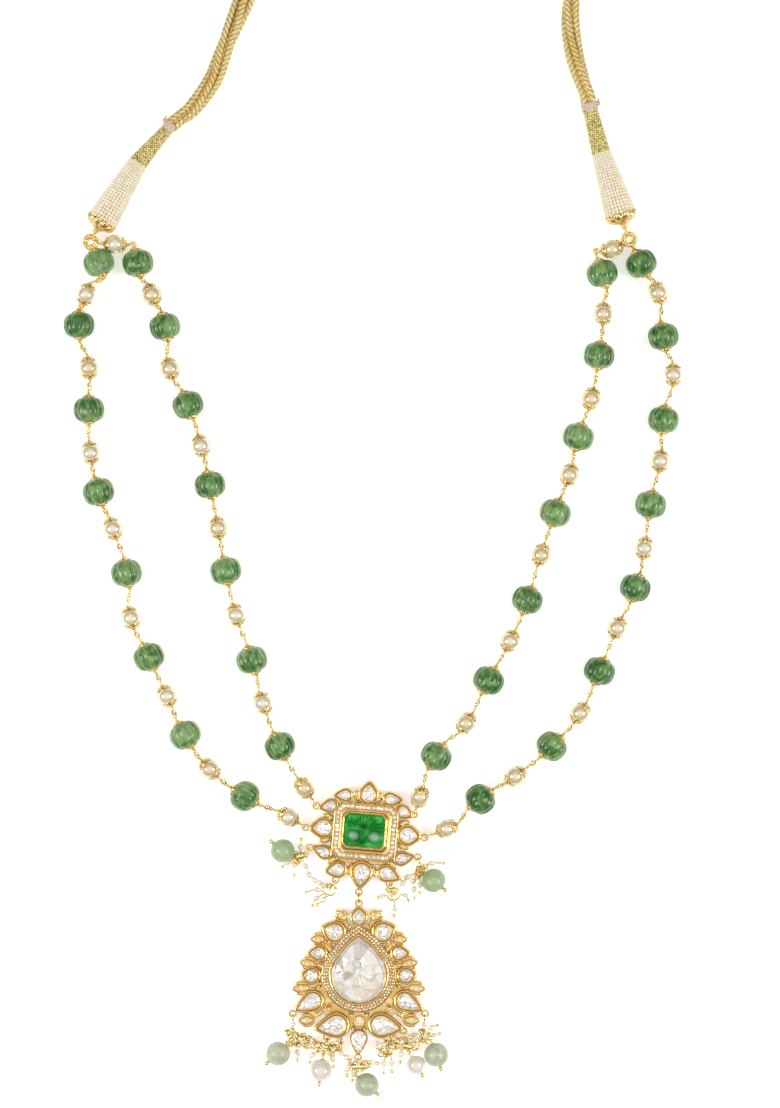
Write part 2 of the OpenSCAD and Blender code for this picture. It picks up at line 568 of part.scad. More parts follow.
// The gold-thread wrap between a cone and the cord, ended by a thread tie
module wrap(ends, tie, tie_d) color(gold) union() {
    start = at_z(ends[0], cone_narrow_d / 2 + 0.1);
    end = at_z(tie, 2.8);
    dir = unit(end - start);
    first = start + 5 * play * dir;
    turn = end - 1.8 * dir;
    towards(first, turn) cylinder(h = norm(turn - first) + 0.3, d1 = cone_narrow_d, d2 = tie_d);
    towards(turn, end) cylinder(h = 1.8, d = tie_d + 0.5);
}

// A tube of eight sides swept along a route
module tube(route, r) {
    sides = 8;
    n = len(route);
    function along(i) = unit(route[min(i + 1, n - 1)] - route[max(i - 1, 0)]);
    function across(i) = unit(cross(along(i), [0, 0, 1]));
    polyhedron(
        points = [for (i = [0 : n - 1], j = [0 : sides - 1])
            route[i] + r * (cos(j * 360 / sides) * across(i) + sin(j * 360 / sides) * cross(across(i), along(i)))],
        faces = concat(
            [[for (j = [0 : sides - 1]) sides - 1 - j]],
            [for (i = [0 : n - 2], j = [0 : sides - 1])
                [i * sides + j, i * sides + (j + 1) % sides, (i + 1) * sides + (j + 1) % sides, (i + 1) * sides + j]],
            [[for (j = [0 : sides - 1]) (n - 1) * sides + j]]
        )
    );
}

module cord(route) color(gold) tube(route, cord_d / 2);

// The knot is a barrel of wound gold thread
module slide_knot() color(gold) towards(KNOT[0], KNOT[1]) rotate_extrude() {
    l = norm(KNOT[1] - KNOT[0]);
    polygon([[0, 0], [0.36 * knot_d, 0], [knot_d / 2, 0.2 * l], [knot_d / 2, 0.8 * l], [0.36 * knot_d, l], [0, l]]);
}

module shown(name) children();

for (k = [0 : 7]) shown(str("melon_left_outer_", k + 1)) melon(left_outer, 2 * k);
for (k = [0 : 6]) shown(str("melon_left_inner_", k + 1)) melon(left_inner, 2 * k);
for (k = [0 : 6]) shown(str("melon_right_inner_", k + 1)) melon(right_inner, 2 * k);
for (k = [0 : 7]) shown(str("melon_right_outer_", k + 1)) melon(right_outer, 2 * k);
bead_string(left_outer, hub_r);  // string_left_outer
union() {  // string_left_inner
    bead_string(left_inner, link_r);
    lead_pearl(left_inner, LEFT_HUB, LEFT_LEAD);
}
union() {  // string_right_inner
    bead_string(right_inner, link_r);
    lead_pearl(right_inner, RIGHT_HUB, RIGHT_LEAD);
}
bead_string(right_outer, hub_r);  // string_right_outer
centre_frame();
centre_emerald();
centre_pave();
centre_polki();
lower_frame();
lower_polki();
lower_pave();
lower_petal_polki();
pendant_link();
fringe_centre_left();
fringe_centre_right();
fringe_lower();
jade(JADE_CENTRE_LEFT);  // jade_centre_left
jade(JADE_CENTRE_RIGHT);  // jade_centre_right
jade(JADE_LOWER_LEFT);  // jade_lower_left
jade(JADE_LOWER_MIDDLE);  // jade_lower_middle
jade(JADE_LOWER_RIGHT);  // jade_lower_right
drop_pearl(DROP_PEARL_LEFT);  // drop_pearl_left
drop_pearl(DROP_PEARL_RIGHT);  // drop_pearl_right
cone(LEFT_CONE, LEFT_EYE);  // cone_left
cone(RIGHT_CONE, RIGHT_EYE);  // cone_right
wrap(LEFT_CONE, LEFT_TIE, 4);  // wrap_left
wrap(RIGHT_CONE, RIGHT_TIE, 4.9);  // wrap_right
cord(LEFT_CORD);  // cord_left
cord(RIGHT_CORD);  // cord_right
slide_knot();
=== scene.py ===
# %% [markdown]
# # A temple necklace
#
# The piece is a long necklace that lies flat on a table: two rows of lobed green beads and pearls
# on each side, a set centre pendant with a carved emerald, a pear-shaped pendant below it with
# small drops, and cones of seed pearls that carry a cord of gold thread.
# The frame holds the same necklace as plain solids. This lesson puts the looks round it, piece by
# piece, in the same place and at the same size, in metres.

# %% Start
import random
from math import acos, atan2, copysign, cos, degrees, hypot, pi, radians, sin, tau

import bmesh
import bpy
import numpy as np
from mathutils import Matrix, Vector


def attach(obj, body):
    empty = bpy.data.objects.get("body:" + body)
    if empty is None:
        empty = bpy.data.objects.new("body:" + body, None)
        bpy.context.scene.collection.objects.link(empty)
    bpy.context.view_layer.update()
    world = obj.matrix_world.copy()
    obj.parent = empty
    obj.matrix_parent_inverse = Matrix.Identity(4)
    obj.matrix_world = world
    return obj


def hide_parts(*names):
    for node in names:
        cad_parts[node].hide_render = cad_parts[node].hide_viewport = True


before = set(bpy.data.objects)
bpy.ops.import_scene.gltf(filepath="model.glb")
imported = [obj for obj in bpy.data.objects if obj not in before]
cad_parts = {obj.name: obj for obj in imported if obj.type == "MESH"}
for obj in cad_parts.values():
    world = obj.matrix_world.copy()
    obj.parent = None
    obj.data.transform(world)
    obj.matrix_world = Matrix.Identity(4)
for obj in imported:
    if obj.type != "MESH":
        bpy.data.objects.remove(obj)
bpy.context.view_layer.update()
bpy.ops.object.select_all(action="DESELECT")
chance = random.Random(7)

# %% [markdown]
# ## Millimetres
#
# A jeweller measures in millimetres, so the pieces below are given in millimetres, and only the
# few functions that make a mesh turn them into metres. Finishes, camera, lights and table use
# metres, as Blender does. A shape is made round the origin with its own Z axis upright, and
# `facing` gives the place that turns that axis along a direction.

# %% Places
MM = 0.001
EAST, NORTH, UP = Vector((1, 0, 0)), Vector((0, 1, 0)), Vector((0, 0, 1))


def unit(v):
    return Vector(v).normalized()


def flat(p, z):
    """A point of the plan, at a height."""
    return Vector((p[0], p[1], z))


def level(angle):
    """The direction in the plan at an angle."""
    return Vector((cos(angle), sin(angle), 0))


def sides_of(along):
    """Two directions across a line."""
    z = unit(along)
    x = UP.cross(z)
    x = x.normalized() if x.length > 1e-4 else EAST
    return x, z.cross(x)


def facing(at, along=UP, turn=0.0, size=1.0):
    """Where a shape goes: at a point, its Z axis along a direction, turned about it."""
    x, y = sides_of(along)
    place = Matrix((x, y, unit(along))).transposed().to_4x4()
    place.translation = Vector(at) * MM
    return place @ Matrix.Rotation(turn, 4, "Z") @ Matrix.Scale(size, 4)


# %% [markdown]
# ## Working on one piece at a time
#
# An operator acts on all that is selected, so each step first selects one piece alone. In edit
# mode the points or faces to shape are picked in code, by where they are. The few steps that many
# pieces need, such as scaling what is picked or turning all faces outwards, get a name here.

# %% Selecting
def added(name, data):
    """A new object with this data, put in the scene."""
    piece = bpy.data.objects.new(name, data)
    bpy.context.scene.collection.objects.link(piece)
    return piece


def only(piece):
    bpy.ops.object.select_all(action="DESELECT")
    piece.select_set(True)
    bpy.context.view_layer.objects.active = piece
    return piece


def edit(on=True):
    bpy.ops.object.mode_set(mode="EDIT" if on else "OBJECT")


def everything(action="SELECT"):
    bpy.ops.mesh.select_all(action=action)


def pick(kind, test):
    """In edit mode, selects the verts or the faces that pass a test."""
    data = bpy.context.object.data
    bpy.ops.mesh.select_mode(type=kind.upper()[:-1])
    everything("DESELECT")
    mesh = bmesh.from_edit_mesh(data)
    for item in getattr(mesh, kind):
        if test(item):
            item.select_set(True)
    mesh.select_flush_mode()
    bmesh.update_edit_mesh(data)


def resize(x, y, z=1):
    """Scales what is selected towards the origin."""
    bpy.ops.transform.resize(value=(x, y, z), center_override=(0, 0, 0))


def turn_outwards(triangles=False):
    """Turns all faces' fronts outwards, cut into triangles first if asked, and ends the editing."""
    everything()
    if triangles:
        bpy.ops.mesh.quads_convert_to_tris()
    bpy.ops.mesh.normals_make_consistent(inside=False)
    edit(False)


def soften(piece, times):
    """Smooths a shape and keeps the result."""
    smooth = only(piece).modifiers.new("soften", "SMOOTH")
    smooth.iterations = times
    bpy.ops.object.modifier_apply(modifier=smooth.name)


def put(piece, place):
    """Moves a finished shape to its place, with the place kept in its mesh."""
    piece.data.transform(place)
    piece.data.update()
    return piece


def join(name, pieces):
    """Makes one piece of several; the first one's mesh takes in the others."""
    only(pieces[0])
    for piece in pieces[1:]:
        piece.select_set(True)
    bpy.ops.object.join()
    pieces[0].name = pieces[0].data.name = name
    return pieces[0]


# %% [markdown]
# ## Three ways to start a shape
#
# Turned parts, such as a bead or a cap, come from a profile that is spun round an axis. Wire is
# a curve with a round bevel, made a mesh. Set parts start from a flat face in their outline, which
# is extruded upwards. The first two are needed everywhere, so they are made here.

# %% Lathe and wire
SEAM = 2e-6      # joins the two ends of a spin
WELD = 1e-7      # joins the end discs of a wire to its tube
BETWEEN = 24     # points worked out between two given ones of a smooth line


def lathe(name, profile, steps):
    """Spins (radius, height) points round the Z axis."""
    mesh = bpy.data.meshes.new(name)
    edges = [(k, k + 1) for k in range(len(profile) - 1)]
    mesh.from_pydata([(r * MM, 0, z * MM) for r, z in profile], edges, [])
    piece = only(added(name, mesh))
    edit()
    everything()
    bpy.ops.mesh.spin(steps=steps, angle=tau, axis=UP, center=(0, 0, 0))
    everything()
    bpy.ops.mesh.remove_doubles(threshold=SEAM)
    turn_outwards()
    return piece


def wires(name, runs, radius, roundness=2):
    """Round wire along each list of points; a run of its own radius is (points, radius)."""
    curve = bpy.data.curves.new(name, "CURVE")
    curve.dimensions = "3D"
    curve.bevel_depth = radius * MM
    curve.bevel_resolution = roundness
    curve.use_fill_caps = True
    for run in runs:
        points, own = run if isinstance(run, tuple) else (run, radius)
        spline = curve.splines.new("POLY")
        spline.points.add(len(points) - 1)
        co = [[p[0] * MM, p[1] * MM, p[2] * MM, 1] for p in points]
        spline.points.foreach_set("co", np.array(co).ravel())
        spline.points.foreach_set("radius", [own / radius] * len(points))
    only(added(name, curve))
    bpy.ops.object.convert(target="MESH")
    edit()
    everything()
    bpy.ops.mesh.remove_doubles(threshold=WELD)
    edit(False)
    return bpy.context.object


def circle_run(middle, x, y, radius, points=14, turns=1.0, start=0.0, rise=(0, 0, 0)):
    """Points on a circle, or on a coil if it rises."""
    x, y, rise, middle = Vector(x), Vector(y), Vector(rise), Vector(middle)
    count = max(3, round(points * turns))
    angles = [start + tau * turns * k / count for k in range(count + 1)]
    return [
        middle + radius * (cos(a) * x + sin(a) * y) + rise * (k / count)
        for k, a in enumerate(angles)
    ]


def flowing(points, step):
    """Evenly spaced points on a smooth line through a few given ones."""
    p = [Vector(q) for q in points]
    p = [2 * p[0] - p[1]] + p + [2 * p[-1] - p[-2]]
    dense = []
    for a, b, c, d in zip(p, p[1:], p[2:], p[3:]):
        for k in range(BETWEEN):
            t = k / BETWEEN
            dense.append(0.5 * (2 * b + (c - a) * t + (2 * a - 5 * b + 4 * c - d) * t * t
                                + (3 * b - a - 3 * c + d) * t ** 3))
    dense = np.array(dense + [p[-2]])
    reach = np.r_[0, np.cumsum(np.linalg.norm(np.diff(dense, axis=0), axis=1))]
    at = np.linspace(0, reach[-1], max(2, round(reach[-1] / step) + 1))
    return [Vector(q) for q in np.column_stack([np.interp(at, reach, dense[:, i]) for i in range(3)])]


def length_of(points):
    return sum((b - a).length for a, b in zip(points, points[1:]))


# %% [markdown]
# ## What repeats is modelled once
#
# A necklace has hundreds of pearls and stones. Each kind is modelled once, its mesh is read into
# arrays, and a piece is filled with copies of it. Each copy gets a tone from 0 to 1, which the
# finishes use to make no two pearls quite alike.

# %% Copies
def shape_of(piece):
    """A finished mesh as arrays. The piece itself is removed."""
    mesh = piece.data
    points = np.empty(len(mesh.vertices) * 3)
    corners = np.empty(len(mesh.loops), np.int64)
    sizes = np.empty(len(mesh.polygons), np.int64)
    mesh.vertices.foreach_get("co", points)
    mesh.loops.foreach_get("vertex_index", corners)
    mesh.polygons.foreach_get("loop_total", sizes)
    extra = {}
    for a in mesh.attributes:
        if a.data_type == "FLOAT" and a.domain == "POINT":
            extra[a.name] = np.empty(len(mesh.vertices))
            a.data.foreach_get("value", extra[a.name])
    bpy.data.objects.remove(piece)
    return points.reshape(-1, 3), corners, sizes, extra


def mark(piece, name, values):
    """Keeps a number for each point, for a finish to read."""
    attribute = piece.data.attributes.get(name) or piece.data.attributes.new(name, "FLOAT", "POINT")
    attribute.data.foreach_set("value", np.asarray(values, np.float32))


def copies(name, shape, places):
    """One piece with a copy of a shape at each place."""
    points, corners, sizes, extra = shape
    n = len(places)
    turns = np.array([np.array(m.to_3x3()) for m in places])
    moves = np.array([np.array(m.translation) for m in places])
    co = np.einsum("nij,pj->npi", turns, points) + moves[:, None]
    mesh = bpy.data.meshes.new(name)
    mesh.vertices.add(n * len(points))
    mesh.loops.add(n * len(corners))
    mesh.polygons.add(n * len(sizes))
    mesh.vertices.foreach_set("co", co.ravel())
    offsets = np.arange(n)[:, None] * len(points)
    mesh.loops.foreach_set("vertex_index", (corners[None] + offsets).ravel())
    all_sizes = np.tile(sizes, n)
    mesh.polygons.foreach_set("loop_start", np.r_[0, np.cumsum(all_sizes)[:-1]])
    mesh.update(calc_edges=True)
    piece = added(name, mesh)
    mark(piece, "tone", np.repeat([chance.random() for _ in range(n)], len(points)))
    for key, values in extra.items():
        mark(piece, key, np.tile(values, n))
    return piece


def ball(radius, segments, rings):
    bpy.ops.mesh.primitive_uv_sphere_add(segments=segments, ring_count=rings, radius=radius * MM)
    return bpy.context.object


# %% [markdown]
# ## Writing a finish
#
# A finish is a node tree. Its maths reads best as plain Python, so one small class wraps a
# node's output and lets `1 - mask` or `noise * 0.2` add the Math nodes. Any other node comes from
# its `node` method, which takes the kind, the settings, and the values or links. Soft steps,
# colour mixes, noise and bumps are wanted so often that each has a short method of its own.

# %% Sockets
class Socket:
    def __init__(self, tree, output=None):
        self.tree, self.output = tree, output

    def node(self, kind, settings=None, values=None, out=0):
        node = self.tree.nodes.new("ShaderNode" + kind)
        for key, value in (settings or {}).items():
            setattr(node, key, value)
        for key, value in (values or {}).items():
            if isinstance(value, Socket):
                self.tree.links.new(value.output, node.inputs[key])
            else:
                node.inputs[key].default_value = value
        return Socket(self.tree, node.outputs[out])

    def beside(self, name):
        """Another output of the same node."""
        return Socket(self.tree, self.output.node.outputs[name])

    def maths(self, operation, *others):
        return self.node("Math", {"operation": operation}, dict(enumerate((self, *others))))

    def __add__(self, other):
        return self.maths("ADD", other)

    def __sub__(self, other):
        return self.maths("SUBTRACT", other)

    def __rsub__(self, other):
        return self.node("Math", {"operation": "SUBTRACT"}, {0: other, 1: self})

    def __mul__(self, other):
        return self.maths("MULTIPLY", other)

    def between(self, low, high):
        """0 below low, 1 above high, and a soft step between."""
        return self.node("MapRange", {"interpolation_type": "SMOOTHSTEP"},
                         {"Value": self, "From Min": low, "From Max": high})

    def mix(self, a, b):
        """A colour from a to b, by this value."""
        a, b = (c if isinstance(c, Socket) else (*c, 1) for c in (a, b))
        return self.node("Mix", {"data_type": "RGBA"}, {0: self, 6: a, 7: b}, out=2)

    def ramp(self, stops):
        """A colour that goes through (place, colour) stops, by this value."""
        colour = self.node("ValToRGB", values={"Fac": self})
        elements = colour.output.node.color_ramp.elements
        first, *middle, last = stops
        for element, (place, rgb) in zip(elements, (first, last)):
            element.position, element.color = place, (*rgb, 1)
        for place, rgb in middle:
            elements.new(place).color = (*rgb, 1)
        return colour

    def noise(self, scale, detail=3.0, distortion=0.0, rough=0.5):
        """Cloudy noise with this many lumps a metre, at this place."""
        return self.node("TexNoise", values={"Vector": self, "Scale": scale, "Detail": detail,
                                             "Roughness": rough, "Distortion": distortion})

    def bump(self, height, distance):
        """Small relief; the distance is its depth in mm."""
        return self.node("Bump", values={"Height": height, "Distance": distance * MM})


FINISHES = {}


def plain(name, fixed):
    """A material with fixed values on its shader."""
    material = bpy.data.materials.new(name)
    material.use_nodes = True
    shader = material.node_tree.nodes["Principled BSDF"]
    for key, value in fixed.items():
        shader.inputs[key].default_value = value
    return material, shader


def finish(name, slot, fixed, make):
    """A material with fixed values, and those that make() works out from the place."""
    material, shader = plain(name, fixed)
    place = Socket(material.node_tree).node("TexCoord", out="Object")
    for key, value in make(place).items():
        material.node_tree.links.new(value.output, shader.inputs[key])
    FINISHES[name] = (material, slot)


def attribute(place, name):
    return place.node("Attribute", {"attribute_name": name}, out="Fac")


def dress(piece, finish_name, *nodes, smooth=35):
    """Gives a finished piece its material, shades it smooth by angle and hides the nodes that it stands
    for.
    """
    material, slot = FINISHES[finish_name]
    piece.data.materials.clear()
    piece.data.materials.append(material)
    only(piece)
    bpy.ops.object.shade_smooth_by_angle(angle=radians(smooth))
    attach(piece, "root")
    if nodes:
        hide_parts(*nodes)
    piece.select_set(False)
    print(piece.name, len(piece.data.polygons), "faces")
    return piece


# %% [markdown]
# ## Gold
#
# The gold is high-carat and yellow, with a soft polish that handling has dulled in patches. Two
# noises do it: a broad one warms the colour here and there, a fine one breaks the polish up.
# Thread of gold over silk is the same metal seen through thousands of tiny turns, so it is
# rougher and paler.

# %% Gold finishes
def gold(place):
    broad = place.noise(260, 2)
    fine = place.noise(1500, 3)
    base = broad.between(0.35, 0.65).mix((1.0, 0.68, 0.22), (1.0, 0.82, 0.40))
    worn = place.noise(900, 3).between(0.45, 0.75)
    base = (worn * 0.4).mix(base, (0.85, 0.50, 0.13))
    return {
        # The shade mark mixes in painted shade: in grooves and seats, on walls and on plates that lie low.
        "Base Color": attribute(place, "shade").mix(base, (0.42, 0.20, 0.045)),
        "Roughness": fine * 0.2 + 0.08,
        "Normal": place.bump(fine * 0.6 + broad * 2, 0.12),
    }


def wire(place):
    fine = place.noise(1500, 3)
    base = place.noise(500, 2).between(0.35, 0.65).mix((0.96, 0.72, 0.28), (1.0, 0.89, 0.55))
    return {"Base Color": base, "Roughness": fine * 0.2 + 0.1, "Normal": place.bump(fine, 0.06)}


def granulated(place):
    grains = place.node("TexVoronoi", {"feature": "SMOOTH_F1"}, {"Vector": place, "Scale": 2600.0})
    broad = place.noise(300, 2)
    return {
        # Darker between the grains, painted shade; paler on their tops, a painted highlight.
        "Base Color": grains.between(0.2, 0.75).mix((1.0, 0.82, 0.44), (0.82, 0.50, 0.14)),
        "Roughness": broad * 0.2 + 0.16,
        "Normal": place.bump(1 - grains, 0.16),
    }


def thread(place):
    tone = attribute(place, "tone")
    fine = place.noise(2600, 3, rough=0.7)
    broad = place.noise(200, 2)
    warm = (tone * 0.5 + broad * 0.6).between(0.2, 0.8)
    base = warm.mix((0.98, 0.64, 0.10), (1.0, 0.92, 0.52))
    base = fine.between(0.36, 0.54).mix((0.46, 0.24, 0.02), base)
    return {
        # Painted shade where the gap mark is, between plies and strands.
        "Base Color": (attribute(place, "gap") * 0.95).mix(base, (0.33, 0.15, 0.002)),
        "Roughness": fine * 0.25 + 0.28,
        "Normal": place.bump(fine, 0.09),
    }


def green_gold_thread(place):
    fine = place.noise(2600, 3, rough=0.7)
    stitch_gap_shade = place.node("TexVoronoi", {}, {"Vector": place, "Scale": 1400.0, "Randomness": 0.4})
    base = fine.between(0.3, 0.6).mix((0.96, 0.75, 0.19), (1.0, 0.97, 0.56))
    return {
        # Painted shade between the turns of thread, where the cells of the stitch pattern meet.
        "Base Color": stitch_gap_shade.between(0.38, 0.66).mix(base, (0.27, 0.17, 0.006)),
        "Roughness": fine * 0.25 + 0.3,
        "Normal": place.bump(fine, 0.09),
    }


def silk(place, dark=(0.68, 0.46, 0.36), light=(0.98, 0.82, 0.72)):
    fine = place.noise(3000, 3, rough=0.7)
    return {
        "Base Color": fine.between(0.3, 0.7).mix(dark, light),
        "Normal": place.bump(fine, 0.06),
    }


def cream_silk(place):
    return silk(place, (0.55, 0.46, 0.32), (0.80, 0.72, 0.56))


finish("gold", "gold", {"Metallic": 1.0}, gold)
finish("gold wire", "gold", {"Metallic": 1.0}, wire)
finish("granulated gold", "gold", {"Metallic": 1.0}, granulated)
# The gold threads give off a little light of their own: painted light that brightens them.
THREAD_PAINTED_GLOW = {"Emission Color": (1.0, 0.82, 0.30, 1), "Emission Strength": 0.07}
finish("gold thread", "gold_thread", {"Metallic": 0.4, **THREAD_PAINTED_GLOW}, thread)
finish("green gold thread", "gold_thread", {"Metallic": 0.2, **THREAD_PAINTED_GLOW}, green_gold_thread)
finish("silk thread", "gold_thread", {"Roughness": 0.75, "Sheen Weight": 0.4}, silk)
finish("cream silk", "gold_thread", {"Roughness": 0.75}, cream_silk)

# %% [markdown]
# ## Pearl, green stone, jade and emerald
#
# A pearl is cream under a clear skin, and its colour drifts a little towards rose and green. The
# lobed beads are cloudy green stone: deep green with paler clouds and thin whitish veins, paler
# again on some beads, with painted shade in their grooves. Jade is paler and milky. The emerald
# is clear; its carving is darkened along the lines with painted shade, and each bud is lightened
# with a painted highlight.

# %% Pearl and stone finishes
def pearl(place):
    tone = attribute(place, "tone")
    drift = place.noise(150, 2)
    base = (tone * 0.5 + drift * 0.5).between(0.25, 0.75).mix((0.95, 0.78, 0.46), (1.0, 0.91, 0.68))
    blush = place.noise(420, 2, 1.5).between(0.5, 0.7) * 0.35
    return {
        "Base Color": blush.mix(base, (0.86, 0.62, 0.52)),
        "Roughness": drift * 0.08 + 0.14,
        "Normal": place.bump(place.noise(700, 2), 0.04),
    }


def white_pearl(place):
    drift = place.noise(260, 2, 1.0)
    return {
        "Base Color": drift.between(0.35, 0.65).mix((0.95, 0.84, 0.70), (1.0, 0.96, 0.87)),
        "Roughness": drift * 0.08 + 0.12,
        "Normal": place.bump(place.noise(500, 2), 0.1),
    }


def seed_pearl(place):
    tone = attribute(place, "tone")
    base = tone.between(0.15, 0.85).mix((0.91, 0.80, 0.56), (0.95, 0.91, 0.75))
    rosy = (tone * 7.3).maths("FRACT").between(0.7, 0.95)
    return {"Base Color": rosy.mix(base, (0.95, 0.85, 0.74))}


def green_stone(place):
    tone = attribute(place, "tone")
    cloud = place.noise(230, 5, 1.3)
    deep = (cloud + tone * 0.15 - 0.07).between(0.35, 0.65)
    base = deep.mix((0.028, 0.150, 0.016), (0.235, 0.440, 0.125))
    pale = (place.noise(120, 3, 1.2) + tone * 0.15 - 0.07).between(0.55, 0.78)
    base = (pale * 0.8).mix(base, (0.42, 0.48, 0.30))
    vein = place.noise(420, 4, 2.2) - 0.5
    thin = 1 - vein.maths("ABSOLUTE").between(0.0, 0.02)
    base = (thin * 0.35).mix(base, (0.46, 0.54, 0.36))
    # Painted shade in the grooves between the lobes.
    groove = attribute(place, "groove")
    return {
        "Base Color": (groove * 0.25).mix(base, (0.03, 0.085, 0.015)),
        "Roughness": cloud * 0.2 + 0.16,
        "Normal": place.bump(place.noise(900, 3), 0.05),
    }


def pale_jade(place):
    cloud = place.noise(240, 4, 1.0)
    base = cloud.between(0.35, 0.65).mix((0.46, 0.53, 0.35), (0.68, 0.71, 0.51))
    fresh = place.node("SeparateXYZ", values={"Vector": place}, out="Y").between(-0.05, -0.03)
    base = (fresh * 0.75).mix(base, (0.36, 0.56, 0.25))
    milk = place.noise(520, 4, 2.0).between(0.54, 0.72)
    return {
        "Base Color": (milk * 0.6).mix(base, (0.84, 0.84, 0.70)),
        "Roughness": cloud * 0.2 + 0.3,
        "Normal": place.bump(place.noise(700, 3), 0.06),
    }


def emerald(place):
    # Painted shade darkens the carved lines and the sunk middle; a painted highlight lightens each bud.
    depth, pale = attribute(place, "depth"), attribute(place, "pale")
    cloud = place.noise(160, 3, 1.0)
    base = cloud.between(0.38, 0.62).mix((0.004, 0.23, 0.018), (0.048, 0.60, 0.090))
    return {
        "Base Color": depth.mix((pale * 0.75).mix(base, (0.46, 0.66, 0.46)), (0.0, 0.035, 0.002)),
        "Roughness": cloud * 0.1 + 0.05,
    }


SKIN = {"Coat Weight": 0.7, "Coat Roughness": 0.04, "Coat IOR": 1.45}
finish("pearl", "pearl", {**SKIN, "Metallic": 0.32}, pearl)
finish("white pearl", "pearl", {**SKIN, "Metallic": 0.08}, white_pearl)
# The seed pearls give off a little light of their own: painted light that brightens them.
SEED_PAINTED_GLOW = {"Emission Color": (1.0, 0.86, 0.62, 1), "Emission Strength": 0.1}
finish("seed pearl", "pearl", {"Roughness": 0.3, "Coat Weight": 0.3, **SEED_PAINTED_GLOW}, seed_pearl)
finish("green stone", "green_stone", {"Coat Weight": 0.35, "Coat Roughness": 0.1}, green_stone)
finish("pale jade", "pale_jade", {"Coat Weight": 0.3, "Coat Roughness": 0.15}, pale_jade)
finish("emerald", "emerald",
       {"Specular IOR Level": 0.2, "Coat Weight": 0.12, "Coat Roughness": 0.03}, emerald)

# %% [markdown]
# ## Uncut diamonds over foil
#
# Flat uncut diamonds are set over bright foil, which throws light back in broken patches. The
# render would need a long time to trace that, so the stone is a bright, partly mirror-like solid
# with real facets that gives off a little light, painted light, and whose patches of painted
# reflection go from white to grey and a warm rose.

# %% Diamond finishes
# Painted reflections of the foil: the colours of the stones' patches, also given off as painted light.
UNCUT_REFLECTION_STOPS = [(0.0, (0.40, 0.36, 0.33)), (0.22, (0.72, 0.68, 0.63)), (0.45, (0.95, 0.94, 0.92)),
               (0.7, (0.98, 0.97, 0.93)), (0.86, (0.86, 0.72, 0.60)), (1.0, (0.97, 0.97, 0.97))]
PAVE_REFLECTION_STOPS = [(0.0, (0.60, 0.53, 0.40)), (0.25, (0.88, 0.81, 0.66)), (0.55, (0.97, 0.93, 0.82)),
              (0.8, (0.90, 0.68, 0.52)), (1.0, (0.76, 0.78, 0.55))]
PEAR_REFLECTION_STOPS = [(0.0, (0.63, 0.56, 0.46)), (0.25, (0.80, 0.73, 0.63)), (0.5, (0.93, 0.88, 0.79)),
              (0.8, (0.98, 0.95, 0.89)), (1.0, (0.90, 0.76, 0.61))]
# Spots of painted reflection on the big diamond.
PEAR_REFLECTION_SPOTS = [    # middle, half width and half height in mm; how strong; colour
    (-3.9, 0.2, 1.7, 1.3, 0.7, (0.36, 0.37, 0.30)), (-6.0, -2.9, 1.7, 1.0, 0.5, (0.55, 0.50, 0.45)),
    (0.0, -0.6, 0.9, 1.5, 0.7, (0.58, 0.46, 0.34)), (3.0, -4.6, 3.4, 3.0, 0.6, (0.95, 0.83, 0.68)),
    (4.8, 2.6, 0.8, 1.5, 0.6, (0.80, 0.69, 0.58)), (-3.4, 5.2, 1.0, 2.0, 0.5, (0.72, 0.68, 0.62)),
]


def broken(place, scale):
    """Patches with a random value each, and the distance from their middles."""
    relief = place.node("TexVoronoi", {}, {"Vector": place, "Scale": scale})
    return place.node("SeparateColor", values={"Color": relief.beside("Color")}), relief


def uncut(place):
    patch, relief = broken(place, 1150.0)
    painted_foil_light = (patch * 0.75 + attribute(place, "tone") * 0.25).ramp(UNCUT_REFLECTION_STOPS)
    return {"Base Color": painted_foil_light, "Emission Color": painted_foil_light, "Normal": place.bump(relief, 0.25)}


def pave(place):
    painted_foil_light = attribute(place, "tone").ramp(PAVE_REFLECTION_STOPS)
    return {"Base Color": painted_foil_light, "Emission Color": painted_foil_light}


